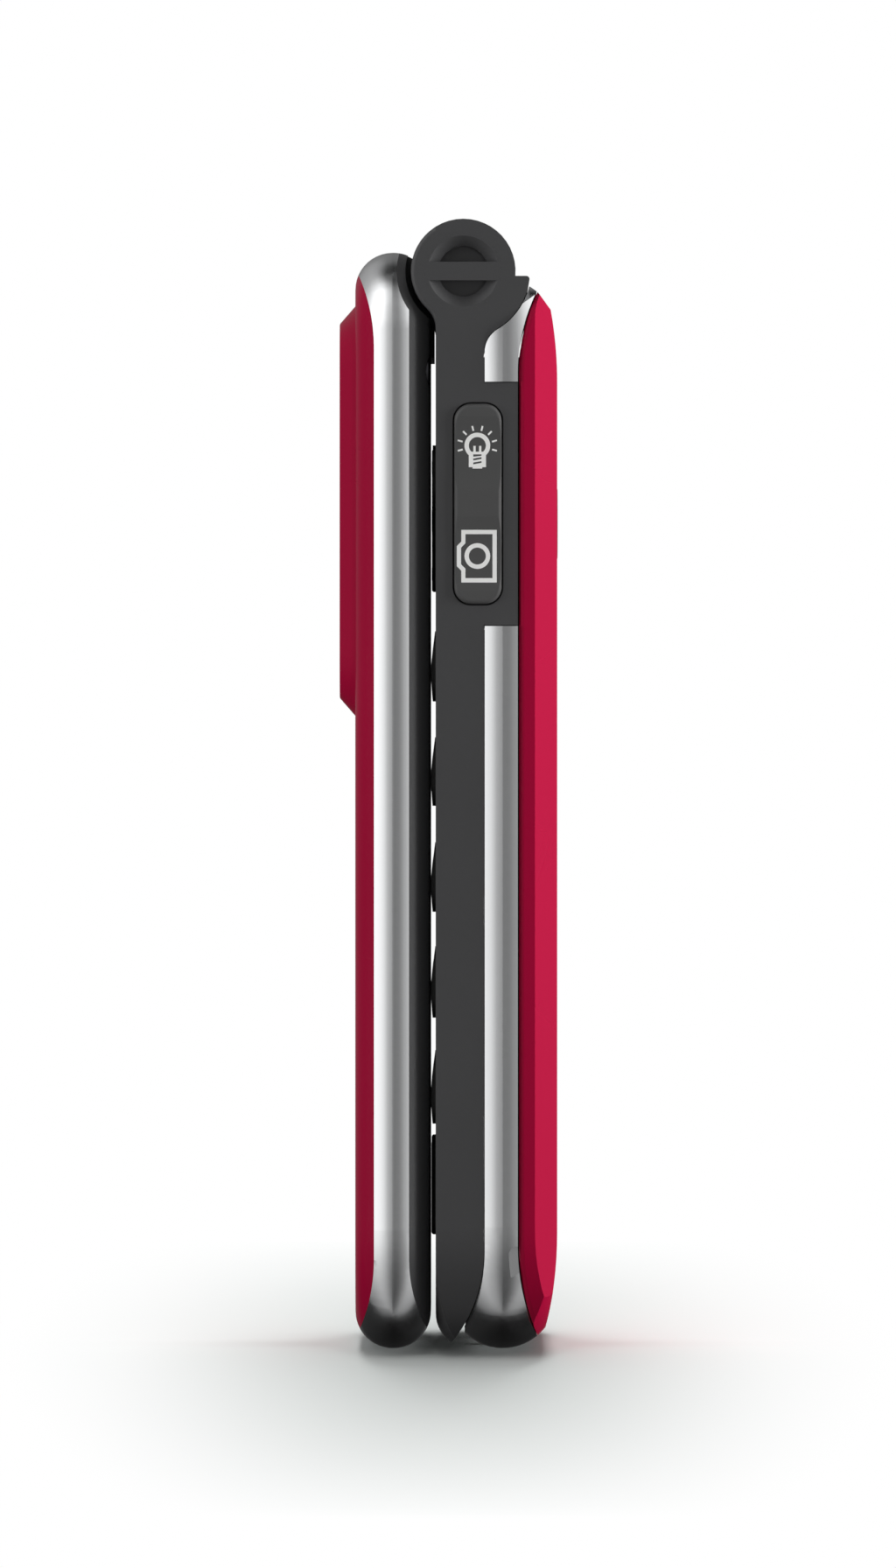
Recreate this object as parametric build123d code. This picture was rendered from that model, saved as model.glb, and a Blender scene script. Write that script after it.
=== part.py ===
from build123d import *
import math
import os

# Clamshell phone, closed and standing on its bottom end.
# X is the thickness: -X the lid's outer face, +X the battery cover.
# Y is the width, Z is up, and the origin is under the middle of the phone.  Millimetres.

# ---------------------------------------------------------------- casing, both halves
casing_width = 52.0
corner_r = 11.0            # bottom corners, seen from the front
parting_gap = 0.44         # between the closed halves
wall = 1.3                 # moulded side walls
seam_gap = 0.1             # round the removable cover and other loose fits
seam_line = 0.08           # open line round the silver bands of the base
foot_trim = 0.03           # cut off both round ends, so that the phone stands

# ---------------------------------------------------------------- lid
lid_depth = 6.92
lid_round = 3.4            # the lid's rim is nearly a full round
lid_top_corner_r = 7.0
base_top_corner_r = 3.0
lid_cover_depth = 1.72     # red cover, from the lid's front to its seam
lid_band_depth = 3.2       # silver band behind it
lid_rise = 1.81            # lid's top end above the hinge axis
lid_face_wall = 1.5        # frame's wall round the main display
lid_cover_wall = 1.1
lid_seam_bend_z = 8.3      # where the seams leave the straight at the bottom
lid_seam_top_run = 8.8     # and how far below the lid's top end
cover_seam_r = 16.5        # sweep of the seams at the ends
frame_seam_r = 13.3

bulge_height = 1.44        # raised panel of the outer display
bulge_side = 3.7           # beside it, to the lid's side
bulge_border = 3.8         # beyond its window, above and below
bulge_slope = 49.0         # degrees from straight walls
bulge_wall = 1.0

# ---------------------------------------------------------------- base
base_depth = 11.12
base_dark_depth = 4.4      # dark housing, from the keypad face to its seam
base_band_depth = 3.1      # silver band behind it
base_top_drop = 1.36       # top edge behind the hinge, below the hinge axis
base_end_inset = 2.53      # its highest edge is this far ahead of the back
band_end_depth = 0.74      # from there the silver arch slopes down to its seam
band_end_drop = 0.54
cover_end_slope = 53.0     # degrees, the red cover's end beyond the seam
chin_r = 3.2               # front bottom edge
nose_r = 5.0               # rear bottom edge and the band's crown
band_crown = 0.3           # how far the silver band stands out at the sides
base_face_wall = 1.2
base_dark_bend_z = 9.0
base_cover_bend_z = 9.6
base_cover_bend_top_run = 7.96
base_cover_seam_r = 21.0
base_cover_seam_top_r = 17.0
back_crown_r = 36.0        # the back curves in towards both ends
back_crown_low_z = 10.6
back_crown_top_run = 8.66
bevel_depth = 2.05         # long facet on each side of the battery cover
bevel_run = 4.5
battery_cover_wall = 0.9
cover_edge_r = 0.5         # its rounded edge along the seam
lobe_margin = 1.93         # the dark side wall is wide up to here beyond the side keys' ends
lobe_corner_r = 2.5        # rounded corner of the silver arch over it

# ---------------------------------------------------------------- hinge
hinge_rise = 10.19         # hinge axis above the wide part of the dark side wall
axis_inset = 2.52          # hinge axis behind the keypad face
barrel_r = 4.78
collar_r = 6.1             # dark collar round the barrel, on both halves
neck_r = 2.5               # hollow between the barrel and the keypad face
fairing_corner_r = 0.3
scoop_gap = 0.52           # lid's hollow round the ears
knuckle_r = 4.7
web_drop = 7.78            # the knuckle's web on the lid reaches this far below the axis
knuckle_length = 31.6
knuckle_gap = 0.3          # radial gap of the trough round the knuckle
ear_gap = 0.2              # at each end of the knuckle
fairing_top = 0.44         # top of the fairing below the hinge axis
hinge_bore_r = 3.1
hinge_can_length = 14.4
hinge_can_wall = 0.3
hinge_fit = 0.05           # radial running fit
hinge_shaft_r = 1.0
hinge_head_r = 2.4
hinge_head_length = 3.2
hinge_neck_r = 1.8
press_play = 0.02          # radial play of parts pressed or set into the ears
spring_wire = 0.5
spring_turns = 5
cam_lift = 0.6
ear_rim_r = 0.35
cap_r = 3.5
cap_length = 2.8
dish_depth = 0.8
recess_r = 2.3
recess_depth = 2.0
bar_width = 1.7
bar_thickness = 0.9
bush_wall = 0.7
bush_length = 6.0          # inside the knuckle
flex_thickness = 0.2
flex_width = 5.0

# ---------------------------------------------------------------- keys
key_gap = 0.15             # round every key
key_travel = 0.25
key_free = 0.05            # spare beyond the travel
key_flange = 0.4           # flange depth
key_margin = 0.4           # flange beyond the key's outline
key_side = 3.2             # between the key columns' field and the casing's side
key_space = 1.4            # between the caps of a row
key_pitch_z = 9.7
key_height = 6.3
key_corner_r = 1.8
wave_proud = 0.40
wave_low = 0.12
nav_drop = 1.25            # navigation ring's centre below that of the side keys
nav_to_row = 13.5          # and above the first row
nav_r = 6.6
nav_inner_r = 3.1
nav_proud = 0.36
ok_proud = 0.30
soft_side = 5.45           # from the soft keys to the casing's side
soft_ring_gap = 0.4
soft_height = 5.6
soft_proud = 0.28
soft_offset_z = 3.9
mat_thickness = 0.5

side_key_rise = 10.25      # its centre above the battery bay
side_key_length = 18.3
side_key_width = 4.33
side_key_corner_r = 1.55
side_key_x = 3.855         # its centre line behind the keypad face
side_key_proud = 0.45
side_key_flange = 0.4
side_key_margin = 0.35     # flange beyond the key's outline
side_key_tilt = 1.6        # degrees either way
side_key_hollow_r = 36.0   # a shallow hollow for the thumb at each end
side_key_hollow = 0.16
side_board_thickness = 0.4
dome_height = 0.2
side_rib = 1.2             # depth of the switch board and the rib behind it

sos_drop = 1.55            # its centre below that of the side keys
sos_r = 3.4
sos_proud = 0.13
sos_travel = 0.3
sos_flange = 0.35
sos_dish_r = 6.0

bumper_length = 8.6
bumper_width = 3.0
bumper_low_z = 10.5
bumper_side = 7.0          # from its centre to the casing's side
bumper_squeeze = 0.04      # left between bumper and lid
bumper_seat = 0.5

# ---------------------------------------------------------------- inside the base
board_thickness = 0.8
board_edge = 0.9           # from the side walls
can_height = 1.2
can_wall = 0.2
deck_wall = 1.0            # rear housing's plates
battery_side = 7.0         # from the battery to the casing's side
battery_length = 56.0
battery_thickness = 4.1
battery_low_z = 10.8
bay_gap = 0.3
card_rise = 19.2           # card holders' middle above the battery's low end
card_space = 3.0
sim_width = 15.0
sim_length = 18.0
memory_width = 12.0
memory_length = 14.0
low_can_side = 6.0         # shield cans, from the casing's sides
high_can_side = 9.0
high_can_length = 17.0
can_space = 2.5
speaker_side = 13.5        # from the loudspeaker's and the motor's middles to the sides
speaker_drop = 5.15        # and below the wide part's top
speaker_width = 15.0
speaker_height = 9.6
speaker_depth = 2.8
motor_r = 4.2
motor_depth = 2.7
usb_width = 7.6
usb_depth = 2.6
usb_length = 5.6
usb_low_z = 1.0
screw_r = 0.8
screw_head_r = 1.6
screw_head_depth = 0.9
boss_r = 1.9
lid_boss_r = 1.4

# ---------------------------------------------------------------- inside the lid
lens_side = 5.5
lens_top_run = 9.8         # from the lid's top end
lens_thickness = 0.9
lens_corner_r = 3.0
view_side = 1.3            # dark border inside the lens
view_border_low = 5.0
view_border_top = 6.24     # holds the earpiece
view_length = 51.2
display_margin = 0.6
display_thickness = 2.4
window_side = 4.8
window_top_run = 8.64      # from the lid's top end
window_length = 30.0
window_thickness = 0.8
window_corner_r = 3.0
outer_display_side = 3.5
outer_display_low = 1.0
outer_display_length = 17.0
outer_display_thickness = 1.6
camera_size = 7.0
camera_barrel_r = 2.8
camera_margin = 1.2        # below the window's top
torch_size = 3.0
torch_y = 9.0
earpiece_width = 14.0
earpiece_height = 4.2
earpiece_thickness = 2.3

# ---------------------------------------------------------------- places that follow
half_width = casing_width / 2
total_depth = bulge_height + lid_depth + parting_gap + base_depth + sos_proud
lid_front_x = -total_depth / 2 + bulge_height
lid_back_x = lid_front_x + lid_depth
base_face_x = lid_back_x + parting_gap
base_back_x = base_face_x + base_depth
bulge_face_x = lid_front_x - bulge_height
lid_cover_seam_x = lid_front_x + lid_cover_depth
lid_frame_seam_x = lid_cover_seam_x + lid_band_depth
dark_seam_x = base_face_x + base_dark_depth
cover_seam_x = dark_seam_x + base_band_depth
axis_x = base_face_x + axis_inset

bay_high_z = battery_low_z + battery_length + bay_gap
side_key_z = bay_high_z + side_key_rise
lobe_low_z = side_key_z - side_key_length / 2 - lobe_margin
lobe_high_z = side_key_z + side_key_length / 2 + lobe_margin
axis_z = lobe_high_z + hinge_rise
base_top_z = axis_z - base_top_drop
base_cover_bend_top_z = base_top_z - base_cover_bend_top_run
back_crown_top_z = base_top_z - back_crown_top_run
nav_z = side_key_z - nav_drop
first_row_z = nav_z - nav_to_row
sos_z = side_key_z - sos_drop
key_pitch_y = (casing_width - 2 * key_side) / 3
key_width = key_pitch_y - key_space
soft_inner_y = nav_r + key_gap + soft_ring_gap
soft_width = half_width - soft_side - soft_inner_y
bumper_y = half_width - bumper_side
battery_width = casing_width - 2 * battery_side
lid_top_z = axis_z + lid_rise
fairing_top_z = axis_z - fairing_top
crown_x = base_back_x - nose_r

ear_inner_y = knuckle_length / 2 + ear_gap
inner_face_x = base_face_x + base_face_wall
flange_x = inner_face_x + key_free
mat_x = flange_x + key_flange + key_travel + key_free
board_x = mat_x + mat_thickness
board_back_x = board_x + board_thickness
plate_x = board_back_x + can_height + seam_gap
bay_floor_x = plate_x + deck_wall
tray_back_x = base_back_x - battery_cover_wall - bay_gap
deck_x = tray_back_x - deck_wall
trough_r = knuckle_r + knuckle_gap
scoop_r = barrel_r + scoop_gap

lid_inner_wall_x = lid_back_x - lid_face_wall
display_x = lid_inner_wall_x - display_thickness
lid_board_x = display_x - board_thickness
lens_width = casing_width - 2 * lens_side
lens_top_z = lid_top_z - lens_top_run
view_width = lens_width - 2 * view_side
view_low_z = lens_top_z - view_border_top - view_length
lens_low_z = view_low_z - view_border_low
lens_length = lens_top_z - lens_low_z
window_top_z = lid_top_z - window_top_run
window_low_z = window_top_z - window_length
bulge_width = casing_width - 2 * bulge_side
bulge_length = window_length + 2 * bulge_border
bulge_bottom_z = window_low_z - bulge_border
window_width = bulge_width - 2 * window_side
outer_display_width = window_width - 2 * outer_display_side
window_x = bulge_face_x + seam_gap
window_back_x = window_x + window_thickness
view_mid_z = view_low_z + view_length / 2


# ================================================================ shaping helpers
def block(x, y, z):
    """Box between the two limits given on each axis."""
    middle = Pos(sum(x) / 2, sum(y) / 2, sum(z) / 2)
    return middle * Box(x[1] - x[0], y[1] - y[0], z[1] - z[0])


def along_x(sketch, x0, x1):
    """Front-view sketch (Y across, Z up) extruded from x0 to x1."""
    return extrude(Plane.YZ.offset(x0) * sketch, x1 - x0)


def along_y(sketch, y0, y1):
    """Side-view sketch (X across, Z up) extruded from y0 to y1."""
    return extrude(Plane.XZ.offset(-y0) * sketch, y0 - y1)


def pad(y, z, width, height, r, x0, x1):
    """Rounded pad lying across X, centred on (y, z)."""
    return along_x(Pos(y, z) * RectangleRounded(width, height, r), x0, x1)


def peg(y, z, r, x0, x1):
    """Round peg along X."""
    return along_x(Pos(y, z) * Circle(r), x0, x1)


def rod(r, y0, y1):
    """Cylinder on the hinge axis."""
    return along_y(Pos(axis_x, axis_z) * Circle(r), y0, y1)


def above_floor(shape):
    return shape & block((-casing_width, casing_width), (-casing_width, casing_width), (0, 2 * axis_z))


def save(name, shape):
    shape.label = name
    export_step(shape, f"parts/{name}.step")


# ================================================================ casing forms
def outline(half, z_low, z_high, r_low, r_high):
    """Front view of a casing: square-sided, with its own radius at each end."""
    sketch = Pos(0, (z_low + z_high) / 2) * Rectangle(2 * half, z_high - z_low)
    if r_high > 0:
        sketch = fillet(sketch.vertices().group_by(Axis.Y)[-1], r_high)
    return fillet(sketch.vertices().group_by(Axis.Y)[0], r_low)


def pillow(x0, x1, sketch, round_front, round_back):
    """Slab with its front and back rims rounded."""
    slab = along_x(sketch, x0, x1)
    slab = fillet(slab.faces().sort_by(Axis.X)[0].edges(), round_front)
    return fillet(slab.faces().sort_by(Axis.X)[-1].edges(), round_back)


def seam_zone(x, toward, low, low_r, high=None, high_r=None):
    """Side view of all that lies `toward` one side of a seam.

    The seam is straight between the heights low and high, and beyond them it bends
    the same way on an arc.  Without high it stays straight to the top.
    """
    under = -1.0
    over = lid_top_z + barrel_r + 1
    far = x + toward * 3 * total_depth

    def sweep_x(r, rise):
        return x + toward * (r - math.sqrt(r * r - rise * rise))

    low_end = (sweep_x(low_r, low - under), under)
    top = (x, over)
    edges = Curve() + TangentArc((x, low), low_end, tangent=(0, -1))
    if high is None:
        edges += Line((x, low), top)
    else:
        over = high + lid_seam_top_run + 1
        top = (sweep_x(high_r, over - high), over)
        edges += Line((x, low), (x, high))
        edges += TangentArc((x, high), top, tangent=(0, 1))
    edges += Polyline(top, (far, over), (far, under), low_end)
    return make_face(edges)


def lid_form(inset=0.0, back=None):
    """Lid as a full-round slab, or its hollow when inset."""
    back = lid_back_x - inset if back is None else back
    plan = outline(half_width - inset, inset - foot_trim, lid_top_z - inset,
                   corner_r - inset, lid_top_corner_r - inset)
    return above_floor(pillow(lid_front_x + inset, back, plan, lid_round - inset,
                              min(lid_round, (back - lid_front_x) / 2) - inset))


def base_block(inset=0.0, top_z=base_top_z, face_inset=None, top_r=0):
    """Square-sided casing with round bottom corners, thinned at chin and nose."""
    face_x = base_face_x + (inset if face_inset is None else face_inset)
    back_x = base_back_x - inset
    low_z = inset - foot_trim
    plan = outline(half_width - inset, low_z, top_z, corner_r - inset, top_r)
    spread = corner_r / 2
    wide = outline(half_width + spread - inset, low_z, 2 * top_z, corner_r + spread - inset, 0)
    ends = pillow(face_x, back_x, wide, chin_r - inset, nose_r - inset)
    return above_floor(along_x(plan, face_x, back_x) & ends)


def back_profile(inset=0.0):
    """Side view of the base: its back curves in at both ends, and its top end slopes off."""
    back_x = base_back_x - inset
    top_z = base_top_z - inset
    crown = seam_zone(back_x, -1, back_crown_low_z, back_crown_r, back_crown_top_z, back_crown_r)
    room = Pos(0, top_z - lid_top_z) * Rectangle(4 * total_depth, 2 * lid_top_z)
    edge = (back_x - base_end_inset, top_z)
    knee = (edge[0] + band_end_depth, top_z - band_end_drop)
    run = back_x - knee[0]
    foot = (back_x, knee[1] - run * math.tan(math.radians(cover_end_slope)))
    slope = make_face(Polyline(edge, knee, foot, (back_x + run, foot[1]), (back_x + run, top_z + run),
                               (edge[0], top_z + run), close=True))
    return (crown & room) - slope


def bevel_prism(inset=0.0):
    """Plan view of the base with the long facet on each side, as a tall prism."""
    wide = half_width + bevel_run
    slope = bevel_run / bevel_depth
    bevel_x = base_back_x - bevel_depth
    past = 2 * bevel_depth
    points = [(-wide, -half_width), (bevel_x, -half_width),
              (bevel_x + past, -half_width + past * slope),
              (bevel_x + past, half_width - past * slope),
              (bevel_x, half_width), (-wide, half_width)]
    plan = offset(make_face(Polyline(*points, close=True)), amount=-inset, kind=Kind.INTERSECTION) \
        if inset else make_face(Polyline(*points, close=True))
    return extrude(Plane.XY.offset(-1) * plan, 2 * base_top_z)


def cover_form(inset=0.0):
    """Rear of the base: facets, crowned back and rounded top."""
    form = base_block(inset, top_r=base_top_corner_r)
    return form & along_y(back_profile(inset), -casing_width, casing_width) & bevel_prism(inset)


def band_form():
    """Crowned slab that the silver bands of the base are cut from."""
    half = half_width + band_crown
    low_x = crown_x - nose_r
    plan = outline(half, -foot_trim, base_top_z, corner_r + band_crown, base_top_corner_r)
    tall = outline(half, -foot_trim, 2 * base_top_z, corner_r + band_crown, 0)
    full_round = nose_r - 0.01
    slab = pillow(low_x, base_back_x, tall, full_round, full_round) & along_x(plan, low_x, base_back_x)
    return above_floor(slab & along_y(back_profile(), -casing_width, casing_width))


def hinge_disc(r):
    """Side view of a disc on the hinge axis."""
    return Pos(axis_x, axis_z) * Circle(r)


def neck_z():
    """Height at which the barrel meets the keypad face."""
    return axis_z - math.sqrt(barrel_r ** 2 - axis_inset ** 2)


def ear_view():
    """Side view of a hinge ear: the barrel, and a hollow neck down to the keypad face."""
    reach = barrel_r + neck_r / 2
    root = Pos(base_face_x + base_face_wall / 2, axis_z - reach / 2) * Rectangle(base_face_wall, reach)
    view = hinge_disc(barrel_r) + root
    neck = view.vertices().sort_by_distance((base_face_x, neck_z()))[0]
    return fillet(neck, neck_r)


def dark_side_view():
    """Side view of the dark housing: body, hinge barrel and the collar behind it."""
    size = 4 * total_depth
    body = seam_zone(dark_seam_x, -1, base_dark_bend_z, base_dark_bend_z * 1.5)
    body = body & (Pos(base_face_x + size / 2, neck_z() - size) * Rectangle(size, 2 * size))
    rear = Pos(axis_x + size / 2, fairing_top_z - size / 2) * Rectangle(size, size)
    collar = hinge_disc(collar_r) & rear
    view = body + hinge_disc(barrel_r) + collar
    drop = math.sqrt(collar_r ** 2 - (dark_seam_x - axis_x) ** 2)
    meeting = view.vertices().sort_by_distance((dark_seam_x, axis_z - drop))[0]
    view = fillet(meeting, lobe_corner_r)
    fairing = view.vertices().sort_by_distance((axis_x + collar_r, fairing_top_z))[0]
    return fillet(fairing, fairing_corner_r)


# ================================================================ lid
lid_seam_top = lid_top_z - lid_seam_top_run


def lid_cover_zone():
    return seam_zone(lid_cover_seam_x, -1, lid_seam_bend_z, cover_seam_r,
                     lid_seam_top, cover_seam_r)


def lid_frame_zone():
    """Dark part of the lid: behind its seam, and the collar round the barrel."""
    return seam_zone(lid_frame_seam_x, 1, lid_seam_bend_z, frame_seam_r) + hinge_disc(collar_r)


def lid_hollow():
    """Space inside the lid, kept clear of the hollow round the hinge ears."""
    space = lid_form(lid_cover_wall, lid_inner_wall_x)
    return space - rod(scoop_r + lid_cover_wall, -half_width, half_width)


def bulge_outline(inset=0.0):
    """Front view of the raised panel at its foot."""
    middle = Pos(0, bulge_bottom_z + bulge_length / 2)
    return middle * RectangleRounded(bulge_width - 2 * inset, bulge_length - 2 * inset, corner_r / 2)


def lid_screw_places():
    low = (half_width - corner_r / 2, lens_low_z / 2)
    high = (half_width - lid_round, axis_z - scoop_r - lid_cover_wall - 2 * lid_boss_r)
    return [(side * y, z) for side in (-1, 1) for y, z in (low, high)]


def make_lid_outer_cover(form, hollow):
    shell = form & along_y(lid_cover_zone(), -casing_width, casing_width)
    slope = bulge_height * math.tan(math.radians(bulge_slope))
    panel = extrude(Plane.YZ.offset(lid_front_x) * bulge_outline(), -bulge_height, taper=bulge_slope)
    crest = panel.faces().sort_by(Axis.X)[0].edges()
    panel = fillet(crest, bulge_height / 4)
    shell = shell - hollow + panel
    pocket = along_x(bulge_outline(slope + bulge_wall / 2), bulge_face_x + bulge_wall,
                     lid_front_x + lid_cover_wall + seam_gap)
    recess = pad(0, window_low_z + window_length / 2, window_width + 2 * seam_gap,
                 window_length + 2 * seam_gap, window_corner_r, bulge_face_x - 1, window_back_x)
    opening = pad(0, window_low_z + window_length / 2, window_width - 2,
                  window_length - 2, window_corner_r - 1, window_back_x - 0.1, lid_front_x)
    shell = shell - pocket - recess - opening
    for y, z in lid_screw_places():
        shell += peg(y, z, lid_boss_r, lid_front_x + lid_cover_wall / 2, lid_inner_wall_x - lid_face_wall)
        shell -= peg(y, z, screw_r, lid_front_x + 2 * lid_cover_wall, lid_back_x)
    return shell


def make_lid_band(form, hollow):
    zone = along_y(lid_cover_zone(), -casing_width, casing_width)
    frame = along_y(lid_frame_zone(), -casing_width, casing_width)
    return form - hollow - zone - frame


def make_lid_inner_frame(form, hollow):
    frame = form & along_y(lid_frame_zone(), -casing_width, casing_width)
    frame -= hollow
    for side in (-1, 1):
        frame -= rod(scoop_r, side * (ear_inner_y - ear_gap / 2), side * casing_width)
    half = knuckle_length / 2
    frame += rod(knuckle_r, -half, half)
    frame += block((lid_back_x - lid_face_wall / 2, base_face_x - seam_gap), (-half, half),
                   (axis_z - web_drop, axis_z - knuckle_r / 2))
    frame -= rod(hinge_bore_r + hinge_fit, -half - 1, half + 1)
    frame -= pad(0, lens_low_z + lens_length / 2, lens_width + 2 * seam_gap,
                 lens_length + 2 * seam_gap, lens_corner_r, lid_back_x - lens_thickness, lid_back_x + 1)
    frame -= pad(0, view_mid_z, view_width, view_length, 1, lid_inner_wall_x - 1, lid_back_x)
    slot_z = lens_low_z + lens_length - earpiece_height / 2 - 1
    frame -= pad(0, slot_z, earpiece_width * 0.7, 1.4, 0.6, lid_inner_wall_x - 1, lid_back_x)
    for y, z in lid_screw_places():
        frame += peg(y, z, lid_boss_r, lid_inner_wall_x - lid_face_wall, lid_inner_wall_x + 0.1)
        frame -= peg(y, z, screw_r, lid_inner_wall_x - lid_face_wall - 1, lid_back_x + 1)
        frame -= peg(y, z, screw_head_r + seam_gap, lid_back_x - screw_head_depth - seam_gap, lid_back_x + 1)
    flex_y0, flex_y1 = flex_span()
    frame -= block((lid_inner_wall_x - 1, axis_x - hinge_bore_r / 2), (flex_y0 - 0.5, flex_y1 + 0.5),
                   (axis_z - flex_thickness * 2, axis_z + flex_thickness * 2))
    return frame


def make_main_display_lens():
    lens = pad(0, lens_low_z + lens_length / 2, lens_width, lens_length, lens_corner_r,
               lid_back_x - lens_thickness, lid_back_x)
    slot_z = lens_low_z + lens_length - earpiece_height / 2 - 1
    return lens - pad(0, slot_z, earpiece_width * 0.6, 1.2, 0.5, lid_inner_wall_x, lid_back_x + 1)


def make_main_display():
    module = pad(0, view_mid_z, view_width + 2 * display_margin, view_length + 2 * display_margin,
                 0.8, display_x, lid_inner_wall_x)
    glass = pad(0, view_mid_z, view_width - 2 * seam_gap, view_length - 2 * seam_gap, 0.8,
                lid_inner_wall_x - 0.1, lid_back_x - lens_thickness - seam_gap)
    return module + glass


def make_lid_board():
    z_low = view_low_z - 2
    z_high = axis_z - scoop_r - lid_cover_wall / 2
    height = z_high - z_low
    board = pad(0, z_low + height / 2, lens_width, height, 1.5, lid_board_x, display_x)
    connector = block((lid_board_x - 0.9, lid_board_x), (-9, -1), (z_low + 4, z_low + 7))
    driver = block((lid_board_x - 0.8, lid_board_x), (-6, 6), (z_low + 12, z_low + 18))
    return board + connector + driver


def make_lid_screws():
    screws = Part()
    for y, z in lid_screw_places():
        tip_x = lid_front_x + 2 * lid_cover_wall + seam_gap
        screw = peg(y, z, screw_r - 0.05, tip_x, lid_back_x - screw_head_depth)
        head = peg(y, z, screw_head_r, lid_back_x - screw_head_depth, lid_back_x - seam_gap)
        head = chamfer(head.faces().sort_by(Axis.X)[-1].edges(), 0.15)
        screws += screw + head - cross_slot(y, z, lid_back_x - seam_gap)
    return screws


def cross_slot(y, z, face_x):
    """Cross recess in a screw head that faces +X."""
    depth = screw_head_depth / 2
    arm = screw_head_r * 0.6
    width = 0.35
    across = block((face_x - depth, face_x + 1), (y - arm, y + arm), (z - width / 2, z + width / 2))
    upright = block((face_x - depth, face_x + 1), (y - width / 2, y + width / 2), (z - arm, z + arm))
    return across + upright


def make_outer_window():
    return pad(0, window_low_z + window_length / 2, window_width, window_length,
               window_corner_r, window_x, window_back_x)


def make_outer_display():
    z = window_low_z + outer_display_low + outer_display_length / 2
    return pad(0, z, outer_display_width, outer_display_length, 0.8,
               window_back_x + seam_gap, window_back_x + seam_gap + outer_display_thickness)


def camera_z():
    return window_top_z - camera_size / 2 - camera_margin


def make_camera_module():
    z = camera_z()
    barrel = peg(0, z, camera_barrel_r, window_back_x + seam_gap, lid_board_x - camera_size / 4)
    lens = peg(0, z, camera_barrel_r * 0.5, window_back_x, window_back_x + 0.5)
    body = pad(0, z, camera_size, camera_size, 0.4, lid_board_x - camera_size / 4, lid_board_x)
    return barrel - lens + body


def make_torch_led():
    z = camera_z()
    led = pad(torch_y, z, torch_size, torch_size, 0.3, lid_board_x - 1, lid_board_x)
    cup = Cone(torch_size / 2, torch_size / 3, 1.2)
    cup = Pos(window_back_x + 0.7, torch_y, z) * Rot(0, 90, 0) * cup
    return led + cup + peg(torch_y, z, torch_size / 3, window_back_x + 1.2, lid_board_x)


def make_earpiece():
    z = view_low_z + view_length + display_margin + earpiece_height / 2 + 0.4
    return pad(0, z, earpiece_width, earpiece_height, earpiece_height * 0.45,
               lid_inner_wall_x - earpiece_thickness, lid_inner_wall_x)


# ================================================================ hinge
can_y0 = -knuckle_length / 2 + 0.2
can_y1 = can_y0 + hinge_can_length
cam_y0 = can_y0 + hinge_can_wall + hinge_fit
cam_y1 = cam_y0 + 2.0
follower_y1 = cam_y1 + 3.2


def make_hinge_can():
    """Drawn steel cup that holds the cam, follower and spring in the lid's knuckle."""
    can = rod(hinge_bore_r, can_y0, can_y1)
    can -= rod(hinge_bore_r - hinge_can_wall, can_y0 + hinge_can_wall, can_y1 - hinge_can_wall)
    can -= rod(hinge_neck_r + hinge_fit, can_y0 - 1, can_y0 + 1)
    return can - rod(hinge_shaft_r + hinge_fit, can_y1 - 1, can_y1 + 1)


def cam_ring(y0, y1):
    """Ring on the hinge shaft, inside the can."""
    ring = rod(hinge_bore_r - hinge_can_wall - hinge_fit, y0, y1)
    return ring - rod(hinge_shaft_r + hinge_fit, y0 - 1, y1 + 1)


def make_hinge_cam():
    """Fixed cam, keyed to the shaft: two lobes hold the lid shut and open."""
    y = cam_y1 - cam_lift
    lobe = lobe_bar(y, 0)
    return cam_ring(cam_y0, y) + (lobe & cam_ring(cam_y0, cam_y1))


def lobe_bar(y, grow):
    """Bar with sloping flanks across the axis, its crest along X."""
    foot = 1.3 + grow
    tip = 0.5 + grow
    reach = hinge_bore_r
    flank = make_face(Polyline((y, -foot), (y + cam_lift, -tip), (y + cam_lift, tip), (y, foot),
                               close=True))
    bar = extrude(Plane.YZ.offset(axis_x - reach) * (Pos(0, axis_z) * flank), 2 * reach)
    return bar


def make_hinge_follower():
    """Follower on the same shaft, keyed to the can, lifted clear of the cam's lobes."""
    y = cam_y1 + hinge_fit
    return cam_ring(y, follower_y1) - lobe_bar(y, hinge_fit)


def make_hinge_spring():
    """Compression spring between the follower and the end of the can."""
    y0 = follower_y1 + spring_wire / 2
    y1 = can_y1 - hinge_can_wall - spring_wire / 2
    r = (hinge_shaft_r + hinge_bore_r - hinge_can_wall) / 2
    path = Helix(pitch=(y1 - y0) / spring_turns, height=y1 - y0, radius=r)
    start = Plane(origin=path @ 0, z_dir=path % 0)
    coil = sweep(start * Rectangle(spring_wire, spring_wire), path=path, is_frenet=True)
    return Pos(axis_x, y0, axis_z) * Rot(-90, 0, 0) * coil


def head_form(grow=0.0):
    """Flat-sided head of the hinge shaft, or its socket in the right ear when grown."""
    end_y = -ear_inner_y - hinge_head_length
    flat = hinge_head_r * 0.7 + grow
    between_flats = block((axis_x - barrel_r, axis_x + barrel_r), (end_y - 1, 0),
                          (axis_z - flat, axis_z + flat))
    return rod(hinge_head_r + grow, end_y, -ear_inner_y + grow) & between_flats


def make_hinge_shaft():
    """Headed shaft: the flat-sided head is held in the right ear."""
    neck = rod(hinge_neck_r, -ear_inner_y - 0.1, cam_y0)
    stem = rod(hinge_shaft_r, -ear_inner_y, can_y1 + 0.8)
    clip = rod(hinge_shaft_r + 0.5, can_y1 + hinge_fit, can_y1 + 0.5)
    return head_form() + neck + stem + clip


def make_hinge_bush():
    """Hollow trunnion in the left ear: the display cable passes through it."""
    r = hinge_bore_r
    tube = rod(r, knuckle_length / 2 - bush_length, ear_inner_y + hinge_head_length)
    return tube - rod(r - bush_wall, 0, casing_width)


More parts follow.
